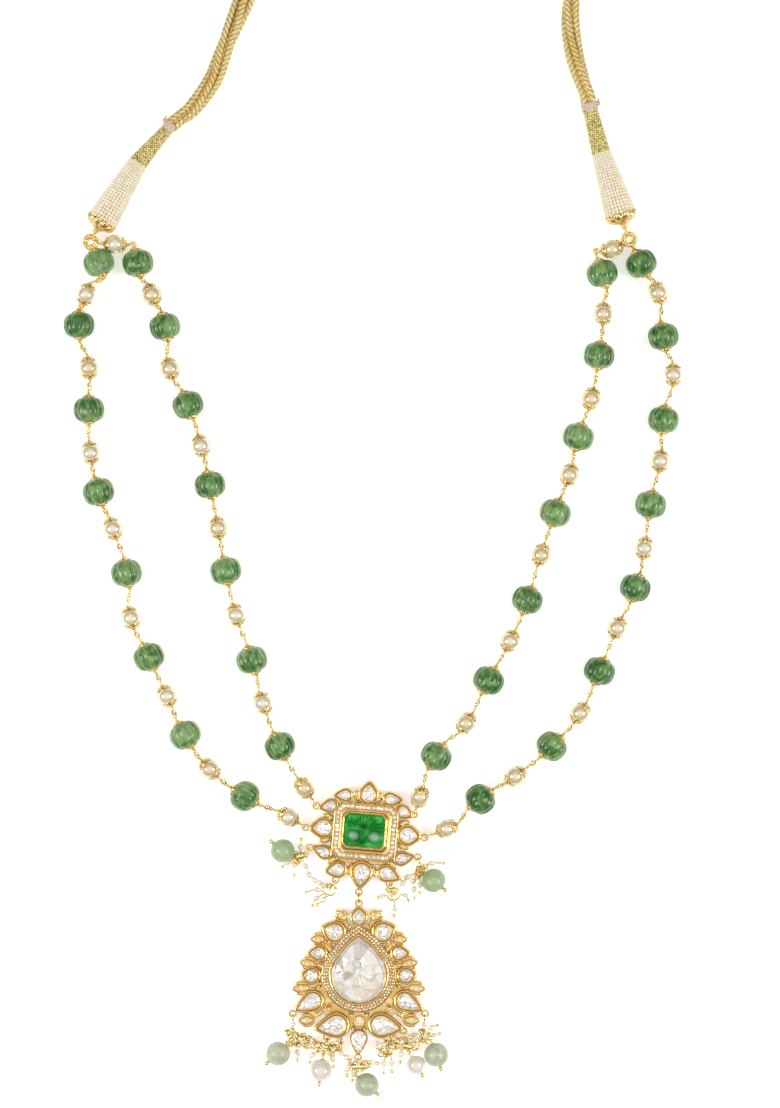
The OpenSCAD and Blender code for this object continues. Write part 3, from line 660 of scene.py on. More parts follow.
def big_diamond(place):
    """Tall broken patches, a warm foot and spots, all painted reflections of the foil; a striped grey
    facet above the middle and fine cracks.
    """
    centred = place.node("Mapping", values={"Vector": place, "Location": (2.2 * MM, 48.1 * MM, 0)})
    x = centred.node("SeparateXYZ", values={"Vector": centred})
    y = x.beside("Y")
    drift = centred.noise(300.0).beside("Color")
    bent = centred.node("VectorMath", {"operation": "MULTIPLY_ADD"},
                        {0: drift, 1: (0.003, 0.003, 0), 2: centred})
    tall = bent.node("Mapping", values={"Vector": bent, "Scale": (1.5, 0.8, 1)})
    base = broken(tall, 210.0)[0].ramp(PEAR_REFLECTION_STOPS)
    warm = 1 - y.between(-0.006, 0.001)
    base = (warm * 0.5).mix(base, (0.92, 0.83, 0.70))
    across = x.maths("ABSOLUTE") - y * 0.09
    upper = y.between(0.0022, 0.0026) * (1 - y.between(0.0108, 0.0112))
    facet = (1 - across.between(0.0008, 0.0011)) * upper
    lines = (x * 9000).maths("SINE").between(-0.6, 0.8)
    base = (facet * 0.8).mix(base, lines.mix((0.52, 0.49, 0.46), (0.80, 0.78, 0.75)))
    wobble = (centred.noise(450, 3) - 0.5) * 0.003
    for cx, cy, rx, ry, share, colour in PEAR_REFLECTION_SPOTS:
        u = (x + wobble - cx * MM) * (1 / rx / MM)
        v = (y + wobble - cy * MM) * (1 / ry / MM)
        base = ((1 - (u * u + v * v).between(0.5, 1.3)) * share).mix(base, colour)
    crack = centred.node("TexVoronoi", {"feature": "DISTANCE_TO_EDGE"}, {"Vector": tall, "Scale": 210.0})
    base = ((1 - crack.between(0.0, 0.05)) * 0.3).mix(base, (0.66, 0.60, 0.54))
    grain = centred.noise(700, 4, 2.0)
    base = (grain.between(0.56, 0.68) * 0.5).mix(base, (0.50, 0.47, 0.45))
    return {
        "Base Color": base,
        "Emission Color": base,
        "Roughness": grain * 0.25,
        "Normal": place.bump(crack.between(0.0, 0.1) * 0.3 + grain * 0.4, 0.1),
    }


# The stones give off a little light in their own colours: painted light for the light that the foil throws
# back.
FOIL = {"Metallic": 0.35, "Coat Weight": 1.0, "Coat Roughness": 0.02, "Emission Strength": 0.2}
CLEAR = {**FOIL, "Roughness": 0.06, "Coat IOR": 2.2}
finish("uncut diamond", "clear_stone", CLEAR, uncut)
finish("pave diamond", "clear_stone", CLEAR, pave)
# The big diamond gives off a little light in its own colours, painted light.
finish("big diamond", "clear_stone",
       {"Metallic": 0.2, "Coat Weight": 0.6, "Emission Strength": 0.06}, big_diamond)
print(len(FINISHES), "finishes")

# %% [markdown]
# ## Camera, light and table
#
# The necklace is seen from straight above with a long lens, so it hardly narrows towards the
# edges. Two round soft lights stand left and right, half way down to the horizon: they give each
# pearl its pair of highlights. The sky is bright overhead and dim near the horizon, which puts the
# dark lines into the gold. The table is white.

# %% Camera, light and table
CAMERA_AT = (0.0082, 0.0923, 1.030)
NECKLACE_MIDDLE = Vector((0, 0.08, 0))
LIGHT_WIDTH, LIGHT_POWER = 0.44, 4.4

camera_data = bpy.data.cameras.new("camera")
camera_data.lens = 100
camera_data.sensor_fit = "VERTICAL"
camera_data.sensor_height = 36
camera = added("camera", camera_data)
camera.location = CAMERA_AT
bpy.context.scene.camera = camera
bpy.context.scene.view_settings.view_transform = "Standard"

for name, x in (("left box", -0.80), ("right box", 0.80)):
    data = bpy.data.lights.new(name, "AREA")
    data.shape, data.size, data.energy = "DISK", LIGHT_WIDTH, LIGHT_POWER
    light = added(name, data)
    light.location = (x, -0.05, 0.75)
    light.rotation_euler = (NECKLACE_MIDDLE - light.location).to_track_quat("-Z", "Y").to_euler()

world = bpy.data.worlds.new("studio")
bpy.context.scene.world = world
world.use_nodes = True
way_out = Socket(world.node_tree).node("TexCoord", out="Generated")
height = way_out.node("SeparateXYZ", values={"Vector": way_out}, out="Z")
shade = height.ramp([
    (0.0, (0.03, 0.028, 0.025)), (0.4, (0.06, 0.055, 0.05)), (0.62, (0.24, 0.23, 0.22)),
    (0.8, (0.56, 0.55, 0.54)), (0.93, (0.95, 0.95, 0.95)), (1.0, (1.0, 1.0, 1.0))])
background = world.node_tree.nodes["Background"]
world.node_tree.links.new(shade.output, background.inputs["Color"])
background.inputs["Strength"].default_value = 0.97

bpy.ops.mesh.primitive_plane_add(size=16, location=(0, 0.1, -0.0003))
table = bpy.context.object
table.name = "table"
table_white = plain("table white", {"Base Color": (0.93, 0.93, 0.925, 1), "Roughness": 0.9,
                                    "Emission Color": (1, 1, 1, 1), "Emission Strength": 0.44})[0]
table.data.materials.append(table_white)

# %% [markdown]
# ## The cord
#
# Each side of the cord is a bundle of five soft strands, and each strand is itself twisted from
# plies of gold thread, with the dips between them darkened with painted shade. A plain tube
# would lose that, so the bundle is swept along the cord's route as a mesh. The cord comes before
# the beads because its route has to match the frame's, point by point, up to the knot.

# %% Cord routes
CORD_Z = 2.6
LEFT_CORD = [(x, y, CORD_Z) for x, y in (
    (-64.2, 236.1), (-61.5, 238.2), (-58.3, 240.6), (-53.9, 246.2), (-50.4, 251.8), (-47.8, 258.6),
    (-45.5, 265), (-43.2, 270.5), (-41, 276), (-37, 286), (-31.5, 297), (-24, 307.5), (-14.5, 316.5),
)] + [(-4, 323, 3), (4, 326, 3.9), (11.7, 327.2, 4.5)]
RIGHT_CORD = [(x, y, CORD_Z) for x, y in (
    (74.4, 243), (73.9, 245.5), (71.8, 251.5), (69.9, 258), (68.9, 264.3), (68.5, 270.7),
    (68.8, 277), (69.2, 286), (68.2, 296), (65, 306), (58.5, 315), (49, 321.8),
)] + [(40.5, 325, 3), (33, 326.7, 3.9), (26.3, 327.2, 4.5)]
KNOT = [(12.4, 327.2, 4.5), (25.6, 327.2, 4.5)]
print(len(LEFT_CORD), "and", len(RIGHT_CORD), "points on the cord's routes")

# %% [markdown]
# Four lobed strands turn slowly round a fifth, while their own plies turn fast. Each strand is a
# tube of rounds of points, and the radius of a round dips where two plies meet. Curves with a
# bevel could not have such dips. The dips, the sides of the outer strands that face the middle,
# and the middle strand except its top carry the gap mark, which the finish darkens: painted shade.
# The tone is lowest on the middle strand, painted shade where it lies among the others, and a
# little higher on the ply tops, a painted highlight; outer strands are paler at the cord's sides.

# %% Twisted strands
OUTER_STRANDS = 4
STRAND_R = 1.18
SPREAD_ACROSS, SPREAD_UP = 2.05, 1.15
PLIES = 3
LAY, PLY_LAY = 120.0, 5.2      # length of a full turn of the strands, and of the plies in one
AROUND, STEP = 20, 0.36        # points round a strand, and the length between two rounds
GAP_R, PLY_RISE = 0.76, 0.26   # the gap between two plies, and how far a ply stands out of it


def strand_wave(s, travelled):
    """How far a strand keeps from the middle: outer ones spread slowly, the inner one wanders."""
    if s == OUTER_STRANDS:
        return 0.25 * sin(travelled / 7.3)
    return 0.86 + 0.3 * min(1.0, travelled / 50) + 0.06 * sin(travelled / 6.1 + 2 * s)


def bundle(name, route):
    """Twisted strands along a route, as one mesh with closed ends."""
    line = flowing(route, STEP)
    points, faces, shaded_tones, gap_shade = [], [], [], []
    for s in range(OUTER_STRANDS + 1):
        outer, base, travelled = s < OUTER_STRANDS, len(points), 0.0
        for k, here in enumerate(line):
            travelled += (here - line[k - 1]).length if k else 0.0
            along = unit(line[min(k + 1, len(line) - 1)] - line[max(k - 1, 0)])
            x = along.cross(UP).normalized()
            y = x.cross(along)
            a = tau * (s / OUTER_STRANDS + travelled / LAY) + 0.5
            wave = strand_wave(s, travelled)
            middle = here + wave * (SPREAD_ACROSS * cos(a) * x + SPREAD_UP * sin(a) * y)
            for j in range(AROUND):
                t = tau * j / AROUND
                turn = t - (-1) ** s * tau * travelled / PLY_LAY - s
                ridge = abs(sin(0.5 * PLIES * turn)) ** 0.7
                r = STRAND_R * (GAP_R + PLY_RISE * ridge)
                points.append(middle + r * (cos(t) * x + sin(t) * y))
                # Tone: painted shade on the middle strand, a painted highlight on ply tops, paler outer
                # strands at the cord's sides.
                shaded_tones.append((0.2 + 0.75 * abs(cos(a)) if outer else 0.0) + 0.15 * ridge)
                inner = -cos(t - a) if outer else 0.5 - sin(t)
                # Gap mark: painted shade between plies, on strand sides that face the middle, and under
                # the middle strand.
                gap_shade.append(max(min(1.0, 1.2 * (1 - ridge)), min(1.0, max(0.0, 1.3 * inner - 0.1))))
        rounds = [[base + k * AROUND + j for j in range(AROUND)] for k in range(len(line))]
        for a, b in zip(rounds, rounds[1:]):
            faces += zip(a, a[1:] + a[:1], b[1:] + b[:1], b)
        faces += [rounds[0][::-1], rounds[-1]]
    mesh = bpy.data.meshes.new(name)
    mesh.from_pydata([p * MM for p in points], [], faces)
    piece = only(added(name, mesh))
    edit()
    turn_outwards()
    mark(piece, "tone", shaded_tones)
    mark(piece, "gap", gap_shade)
    return piece


def make_cord(name, route):
    near, far = Vector(route[0]), Vector(route[-1])
    start = near + 1.3 * unit(near - Vector(route[1]))
    end = far + 1.0 * unit(far - Vector(route[-2]))
    piece = dress(bundle(name, [start, *route, end]), "gold thread", name, smooth=70)
    metres = [p * MM for p in flowing([*route, end], STEP)]
    print(name, "length", round(length_of(metres), 4))


make_cord("cord_left", LEFT_CORD)
make_cord("cord_right", RIGHT_CORD)

# %% [markdown]
# ## The sliding knot
#
# Behind the neck both sides meet in a sliding knot, a barrel of wound gold thread. A core
# is turned first, and thread is wound over it as a coil whose radius follows the core. Two rings
# of thread close each end.

# %% Sliding knot
def wind(start, end, radius_at, pitch, points=36, backwards=False, phase=0.0):
    """Points of a thread wound round the line from start to end; radius_at takes 0 to 1."""
    start, end = Vector(start), Vector(end)
    x, y = sides_of(end - start)
    turns = (end - start).length / pitch
    count = round(turns * points)
    run = []
    for k in range(count + 1):
        t = k / count
        a = phase + tau * turns * t * (-1 if backwards else 1)
        run.append(start.lerp(end, t) + radius_at(t) * (cos(a) * x + sin(a) * y))
    return run


def core(name, start, end, radii):
    """A turned core between two points, radii given evenly along it, closed at both ends."""
    start, end = Vector(start), Vector(end)
    length = (end - start).length
    profile = [(r, length * k / (len(radii) - 1)) for k, r in enumerate(radii)]
    piece = lathe(name, [(0, 0), *profile, (0, length)], 32)
    return put(piece, facing(start, end - start))


def knot_radius(t):
    return 2.75 + 1.25 * min(1.0, 5 * t, 5 * (1 - t))


knot_core = core("knot core", KNOT[0], KNOT[1], [knot_radius(k / 10) for k in range(11)])
knot_run = wind(KNOT[0], KNOT[1], lambda t: knot_radius(t) + 0.05, 0.84)
knot_wound = wires("slide_knot", [knot_run], 0.42)
ends = []
for at, side in ((KNOT[0], 1), (KNOT[1], -1)):
    for lift in (0.35, 1.0):
        middle = Vector(at) + side * lift * EAST
        ends.append(circle_run(middle, NORTH, UP, 2.95 + 0.35 * lift, 32))
knot_ends = wires("knot ends", ends, 0.5)
knot = join("slide_knot_wound", [knot_wound, knot_core, knot_ends])
dress(knot, "gold thread", "slide_knot", smooth=50)

# %% [markdown]
# ## Wraps and ties
#
# Between each cone and the cord, thread is wound so closely that it looks knitted. It is a thread
# of two plies, because the plies give the dotted look, and a tie of pinkish silk ends it.

# %% Wraps
LEFT_CONE = [(-76, 222.7), (-88, 202.7)]
RIGHT_CONE = [(78.7, 226), (85.2, 204.7)]
LEFT_TIE, RIGHT_TIE = (-65, 235.4), (74.7, 242)
NARROW_R, WIDE_R = 3.1, 5.0
TIE_Z, TIE_LENGTH = 2.8, 1.8


def two_plies(run, offset, lay):
    """Two thin threads that twist round each other along a run."""
    plies = [[], []]
    travelled = 0.0
    for k, here in enumerate(run):
        before, after = run[max(k - 1, 0)], run[min(k + 1, len(run) - 1)]
        travelled += (here - before).length
        x, y = sides_of(after - before)
        a = tau * travelled / lay
        for side, ply in zip((1, -1), plies):
            ply.append(here + side * offset * (cos(a) * x + sin(a) * y))
    return plies


def make_wrap(name, cone_ends, tie, tie_d):
    """Thread wound from a cone's narrow end to the tie, which is tie_d wide, and the tie."""
    start, end = flat(cone_ends[0], NARROW_R + 0.1), flat(tie, TIE_Z)
    along = unit(end - start)
    start = start + 0.75 * along
    turn = end - TIE_LENGTH * along
    r0, r1 = NARROW_R, tie_d / 2

    def radius(t):
        return (r0 + (r1 - r0) * t) * (1 + 0.015 * sin(23 * t))

    inside = core(name + " core", start - 1.3 * along, end + 0.5 * along, [r0 - 0.4, r1 - 0.5])
    wound = wind(start - 0.5 * along, turn, lambda t: radius(t) - 0.38, 0.92, points=72)
    wound = wires(name, two_plies(wound, 0.23, 1.9), 0.29, roundness=1)
    dress(join(name + "_thread", [wound, inside]), "green gold thread", name, smooth=60)
    tied = [wind(turn, end + 0.4 * along, lambda t: r1 + 0.02, 0.52, phase=1.0)]
    tied.append(wind(turn + 0.3 * along, end, lambda t: r1 + 0.12, 1.3, backwards=True))
    out = along.cross(UP).normalized() * (1 if along.x > 0.5 else -1)
    knot = end + (r1 + 0.5) * -out + 0.4 * UP
    x, y = sides_of(out)
    tied.append(circle_run(knot, out, along, 0.55, 12))
    tied.append(circle_run(knot - 0.4 * out, x, y, 0.45, 12))
    tied.append(flowing([knot, knot + 0.8 * along - 0.5 * out, knot + 1.5 * along - 0.3 * out], 0.3))
    dress(wires(name + "_tie", tied, 0.3), "silk thread", name, smooth=60)


make_wrap("wrap_left", LEFT_CONE, LEFT_TIE, 4)
make_wrap("wrap_right", RIGHT_CONE, RIGHT_TIE, 4.9)

# %% [markdown]
# ## The cones
#
# A cone is woven of seed pearls in straight columns that narrow towards the cord. Each seed is a
# slightly long ball, modelled once with few faces because there are over a thousand. Under the
# wide end sits a gold cup in eight lobes, edged with grains, and a wound stem that ends in an eye.

# %% Cones
LEFT_EYE, RIGHT_EYE = (-90.6, 198.2), (86.9, 199.3)
COLUMNS = 24
CONE_EYE_R = 1.3
HUB_Z = 5
FULL = 1.09          # how much wider than high a cone lies
CUP_LOBES, PER_CUP_LOBE = 8, 6
CUP_PROFILE = [(0, -0.9), (4.3, -0.75), (4.75, -0.5), (4.85, 0.1), (4.6, 0.8), (3.9, 1.5), (2.8, 2.0),
               (1.9, 2.35), (1.3, 2.75), (0, 2.8)]
CUP_GRAINS = 40


def step_of(co, steps):
    """Which of the steps round the Z axis a point is on."""
    return round(atan2(co.y, co.x) / (tau / steps))


seed_shape = shape_of(put(ball(1.0, 9, 6), Matrix.Diagonal((1, 1, 1.12, 1))))
grain_shape = shape_of(ball(1.0, 6, 4))

cup = lathe("cup", CUP_PROFILE, CUP_LOBES * PER_CUP_LOBE)
edit()
for step, share in ((0, 0.82), (1, 0.93), (5, 0.93)):
    pick("verts", lambda v: v.co.xy.length > 1.5 * MM
         and step_of(v.co, CUP_LOBES * PER_CUP_LOBE) % PER_CUP_LOBE == step)
    resize(share, share)
edit(False)
cup_shape = shape_of(cup)


def make_cone(name, ends, eye):
    """The seeds of a cone with their ground, its cup with grains, and its stem with an eye."""
    narrow, wide = flat(ends[0], NARROW_R + 0.1), flat(ends[1], WIDE_R + 0.05)
    along = unit(wide - narrow)
    length = (wide - narrow).length
    x, y = sides_of(along)
    places, t = [], 0.45
    while t < length - 0.2:
        r = NARROW_R + (WIDE_R - NARROW_R) * t / length
        size = pi * r / COLUMNS * 0.98
        for k in range(COLUMNS):
            a = tau * k / COLUMNS + chance.uniform(-0.012, 0.012)
            out = FULL * cos(a) * x + sin(a) * y
            at = narrow + (t + chance.uniform(-0.04, 0.04)) * along + (r - size * 0.95) * out
            spin = chance.uniform(0, 6)
            places.append(facing(at, along, spin, size * chance.uniform(1.0, 1.12)))
        t += 1.98 * size
    dress(copies(name + "_seeds", seed_shape, places), "seed pearl", name, smooth=80)
    ground = core(name + "_ground", narrow + 0.2 * along, wide, [NARROW_R - 0.75, WIDE_R - 1.0])
    dress(ground, "cream silk", name, smooth=50)
    cup_place = facing(wide, along) @ Matrix.Diagonal((FULL, 1, 1, 1))
    gold_cup = copies(name + " cup", cup_shape, [cup_place])
    grains = []
    for k in range(CUP_GRAINS):
        a = tau * k / CUP_GRAINS
        lobe = 4.62 - 0.6 * max(0.0, cos(CUP_LOBES * a)) ** 3
        at = wide - 0.62 * along + lobe * (FULL * cos(a) * x + sin(a) * y)
        grains.append(facing(at, along, size=0.4))
    edge = copies(name + " grains", grain_shape, grains)
    dress(join(name + "_cup", [gold_cup, edge]), "granulated gold", name, smooth=50)
    cup_end, e = wide + 2.6 * along, flat(eye, HUB_Z)
    stem = unit(cup_end - e)
    neck = e + CONE_EYE_R * stem
    wound = wind(neck + 0.1 * stem, cup_end + 0.1 * stem, lambda t: 0.8, 0.55, points=14)
    runs = [(circle_run(e, stem, UP, CONE_EYE_R, 20), 0.36), ([neck, cup_end], 0.7), (wound, 0.29)]
    dress(wires(name + "_eye", runs, 0.36), "gold", name, smooth=60)


make_cone("cone_left", LEFT_CONE, LEFT_EYE)
make_cone("cone_right", RIGHT_CONE, RIGHT_EYE)

# %% [markdown]
# ## Where the beads lie
#
# The frame's own sums are repeated here: each bead has a centre, a way that its bore runs, and a
# joint on either side where its wire eye meets the next one. Green beads and pearls take turns,
# green first.

# %% Bead places
MELON_D, MELON_L, LOBES = 10.5, 8.4, 11
PEARL_R = 3.1
CAP_L = 1.3
LOOP_R, EYE_R, HUB_R = 1.0, 1.1, 2.0
CAUGHT = 0.85        # how far the middles of two caught eyes are nearer than their radii
LOOP_Z, PEARL_Z, LAST_PEARL_Z = 2.2, 4.9, 4.2

LEFT_OUTER = [
    (-88.8, 189.3), (-93, 178.7), (-95.3, 168.5), (-92.1, 154.3), (-92.1, 140.3), (-91.5, 126),
    (-88.8, 113), (-84.1, 100.7), (-79.5, 86), (-78.1, 71), (-72.1, 58), (-66.1, 45),
    (-60, 32), (-51.8, 20.7), (-40.1, 11.7), (-25.8, 4.7),
]
LEFT_INNER = [
    (-75.8, 189.2), (-71.1, 178.7), (-66.8, 168), (-65.1, 154), (-59.1, 141.9), (-54.8, 128.3),
    (-51.8, 115.3), (-49.1, 101), (-46.5, 86.7), (-43.1, 72), (-37.8, 57), (-34.1, 42.7),
    (-28.5, 28.3), (-20.4, 14.4),
]
RIGHT_INNER = [
    (78.9, 185.7), (79.2, 172.3), (77.8, 158.4), (75.2, 144), (70.9, 131.3), (67.9, 118.7),
    (63.2, 106), (58.5, 92), (53.9, 77), (48.2, 63.3), (41, 50.2), (33.5, 36),
    (23.6, 25), (18.2, 11.4),
]
RIGHT_OUTER = [
    (91.9, 189), (97.5, 179.3), (99.2, 164.7), (102.5, 152), (99.2, 137), (98.2, 123.3),
    (94.9, 108.7), (92.9, 94.3), (89.9, 81), (83.9, 67.7), (77.9, 53.3), (71.5, 39.3),
    (62, 28.3), (49.9, 18.3), (38.3, 10.7), (27.2, 0.8),
]
LEFT_LEAD, RIGHT_LEAD = (-83.3, 195.5), (82.1, 193.9)
LEFT_CORNER, RIGHT_CORNER = (-77, 195.5), (76.5, 193.3)
LEFT_HUB, RIGHT_HUB = (-91.6, 196.2), (87.8, 197.1)
STRING_LOOPS = {"left_outer": (-20, 1), "left_inner": (-16.4, 8.2),
                "right_inner": (16.3, 5.3), "right_outer": (19.7, -2.4)}


def eye_beside(loop, towards):
    """Where an upright eye sits that hangs in a loop and is pulled towards a point."""
    pull = Vector(towards[:2]) - Vector(loop[:2])
    return flat(Vector(loop[:2]) + (LOOP_R + EYE_R - CAUGHT) * pull.normalized(), LOOP_Z)


class Bead:
    def __init__(self, at, way, green):
        self.at, self.way, self.green = at, way, green
        self.cap_at = MELON_L / 2 + 0.05 if green else 0.89 * PEARL_R

    def end(self, side):
        """Where the cap on a side of the bead ends."""
        return self.at + side * (self.cap_at + CAP_L) * self.way


def lay_out(start, end, table):
    """Beads with their joints: the first is the start, the last the end."""
    last = len(table) - 1
    heights = [MELON_D / 2 if k % 2 == 0 else PEARL_Z for k in range(last)] + [LAST_PEARL_Z]
    at = [flat(p, z) for p, z in zip(table, heights)]
    beads = []
    for k, here in enumerate(at):
        way = here - start if k == 0 else end - here if k == last else at[k + 1] - at[k - 1]
        beads.append(Bead(here, way.normalized(), k % 2 == 0))
    joints = [start]
    for a, b in zip(beads, beads[1:]):
        joints.append(((a.end(1) + 1.3 * a.way) + (b.end(-1) - 1.3 * b.way)) / 2)
    return beads, joints + [end]


STRING_TABLES = {"left_outer": (LEFT_HUB, LEFT_OUTER), "left_inner": (LEFT_CORNER, LEFT_INNER),
                 "right_inner": (RIGHT_CORNER, RIGHT_INNER), "right_outer": (RIGHT_HUB, RIGHT_OUTER)}
STRINGS = {}
for side, (start, table) in STRING_TABLES.items():
    end = eye_beside(STRING_LOOPS[side], table[-1])
    STRINGS[side] = lay_out(flat(start, HUB_Z), end, table)
print({side: len(beads) for side, (beads, joints) in STRINGS.items()})

# %% [markdown]
# ## A lobed green bead
#
# The bead is a flattened ball with eleven lobes, like a small melon. A ball would start too round
# at the ends, so a fuller profile is spun in 88 steps, eight for each lobe. The steps where two
# lobes meet are then picked by their angle and drawn inwards. Each bead on the necklace is a
# copy with its own mesh, turned and sized a little differently.

# %% Lobed bead
PER_LOBE = 8
HALF_PROFILE = [(0.55, -0.93), (0.9, -0.985), (1.9, -1.0), (2.8, -0.95), (3.6, -0.86), (4.25, -0.73),
                (4.75, -0.56), (5.05, -0.38), (5.21, -0.18), (5.25, 0)]
profile = [(r, z * MELON_L / 2) for r, z in HALF_PROFILE]
profile += [(r, -z) for r, z in profile[-2::-1]]
melon = lathe("melon", [(0.5, 0), *profile, (0.5, 0)], LOBES * PER_LOBE)


def from_groove(co):
    """How many steps a point is away from the nearest groove between two lobes, from 0 to 4."""
    step = step_of(co, LOBES * PER_LOBE) % PER_LOBE
    return min(step, PER_LOBE - step)


edit()
for step, share in enumerate((0.93, 0.966, 0.988, 0.997)):
    pick("verts", lambda v: v.co.xy.length > 0.8 * MM and from_groove(v.co) == step)
    resize(share, share)
edit(False)
# Painted shade for the grooves: darkest where two lobes meet, none on a lobe's crown.
GROOVE_SHADE_STEPS = (1.0, 0.55, 0.2, 0.05, 0.0)
mark(melon, "groove", [GROOVE_SHADE_STEPS[from_groove(v.co)] for v in melon.data.vertices])
melon_shape = shape_of(melon)

for side, (beads, joints) in STRINGS.items():
    for k, bead in enumerate(beads[::2]):
        squeeze = Matrix.Diagonal([chance.uniform(least, 1.0) for least in (0.97, 0.97, 0.98)] + [1])
        place = facing(bead.at, bead.way, chance.uniform(0, 6.28)) @ squeeze
        name = f"melon_{side}_{k + 1}"
        dress(copies("green_" + name, melon_shape, [place]), "green stone", name, smooth=80)

# %% [markdown]
# ## Pearls and their caps
#
# A pearl is a ball with a slight swell and dimples, so it starts as a sphere and is pushed about
# softly. At both ends sits a gold cap: a small turned dome whose rim is cut into scallops and edged
# with grains. Over a hundred caps are needed, so the one that is copied has few faces.

# %% Pearls and caps
def scatter(*spread):
    """A random move; the numbers say how far it usually goes along each axis."""
    return Vector([chance.gauss(0, s) for s in spread])


def any_way():
    return scatter(1, 1, 1).normalized()


def pick_patch(radius, reach):
    """Selects a round patch somewhere on a ball."""
    spot = any_way() * radius * MM
    pick("verts", lambda v: (v.co - spot).length < reach * MM)


pearl_ball = ball(PEARL_R, 36, 22)
edit()
for k in range(5):
    pick_patch(PEARL_R, 1.7)
    resize(0.992, 0.992, 0.985)
edit(False)
soften(pearl_ball, 4)
pearl_shape = shape_of(pearl_ball)

SCALLOPED = 20       # steps round a cap: every other one is cut back at the rim


def make_cap(name, profile, reach, rows):
    """A turned dome with a scalloped rim; rows are (radius, height, grains, grain size)."""
    dome = lathe(name, profile, SCALLOPED)
    edit()
    pick("verts", lambda v: v.co.z < reach * MM and step_of(v.co, SCALLOPED) % 2 == 1)
    resize(0.9, 0.9)
    bpy.ops.transform.translate(value=(0, 0, 0.22 * MM))
    edit(False)
    grains = []
    for radius, z, count, size in rows:
        for k in range(count):
            a = tau * (k + 0.5 * (z > 0.2)) / count
            grains.append(facing((radius * cos(a), radius * sin(a), z), size=size))
    beading = copies(name + " grains", grain_shape, grains)
    neck = wires(name + " neck", [circle_run(1.08 * UP, EAST, NORTH, 0.66, 12)], 0.18, roundness=1)
    shape = shape_of(join(name, [dome, beading, neck]))
    print(name, len(shape[2]), "faces")
    return shape


melon_cap = make_cap(
    "melon cap", [(0, -0.2), (1.5, -0.25), (1.98, -0.22), (2.0, 0.05), (1.72, 0.5), (1.2, 0.86),
                  (0.72, 1.02), (0.6, 1.3), (0, 1.32)], 0.1, [(1.9, 0.0, 10, 0.34)])
pearl_cap = make_cap(
    "pearl cap", [(0, -0.6), (2.0, -0.72), (2.4, -0.7), (2.36, -0.42), (2.08, 0.05), (1.7, 0.5),
                  (1.25, 0.82), (0.78, 1.02), (0.6, 1.3), (0, 1.32)], -0.3,
    [(2.28, -0.5, 12, 0.4), (1.95, 0.12, 10, 0.32), (1.45, 0.68, 8, 0.26)])

# %% [markdown]
# ## Wires, eyes and links
#
# Each bead hangs on its own short wire. At both ends the wire is bent into an eye, caught in the
# next bead's eye, and wound back round itself. Its two eyes are tilted a right angle apart, one
# steep and one shallow, so that each can link with its neighbour's. All the wire of a string is
# one curve with many splines.

# %% Strings
WIRE = 0.29
THIN = 0.15
UPRIGHT = pi / 2


def eye_on_wire(start, joint, tilt, radius=0.8, past=0.42):
    """A wire from a cap to a joint, ending in a tilted eye that goes a little past the joint."""
    way = unit(joint - start)
    x, y = sides_of(way)
    middle = joint + (past - radius) * way
    loop = circle_run(middle, -way, cos(tilt) * x + sin(tilt) * y, radius, 14)
    foot = middle - radius * way
    runs = [([start - 0.5 * way, foot], WIRE), (loop, WIRE)]
    room = (foot - start).length
    turns = min(3.0, max(1.5, room / (2 * THIN)))
    wound = circle_run(start + 0.05 * way, x, y, WIRE + THIN, 9, turns, rise=max(room, 0.3) * way)
    return runs + [(wound, THIN)]


STEEP, SHALLOW = {"tilt": 1.0}, {"tilt": -0.57}
HANGING = {"tilt": UPRIGHT, "radius": EYE_R, "past": EYE_R}          # in a pendant's loop
ON_HUB = {"tilt": UPRIGHT, "radius": 0.9, "past": CAUGHT - HUB_R}    # round the hub ring
HUB_TURNS, TURN_STEPS, TURN_R = 24, 12, 0.68    # the wire wound round the hub ring
LOOSE_TURNS = 9


def bead_runs(bead, before, after, first, last):
    return eye_on_wire(bead.end(-1), before, **first) + eye_on_wire(bead.end(1), after, **last)


def hub_runs(middle):
    """The ring that carries two strings and a cone, wound with wire and with loose turns round it."""
    steps = HUB_TURNS * TURN_STEPS
    wound = []
    for k in range(steps + 1):
        a = tau * k / TURN_STEPS
        out = Vector((HUB_R + TURN_R * cos(a), 0, TURN_R * sin(a)))
        wound.append(middle + Matrix.Rotation(tau * k / steps, 4, "Z") @ out)
    runs = [(circle_run(middle, EAST, NORTH, HUB_R, 26), 0.52), (wound, 0.24)]
    for k in range(LOOSE_TURNS):
        out = level(tau * k / LOOSE_TURNS)
        across, up = sides_of(unit(out + chance.uniform(-0.8, 0.8) * UP))
        turn = circle_run(middle + 1.5 * out, across, up, chance.uniform(0.8, 1.15), 14)
        runs.append((turn, 0.2))
    return runs


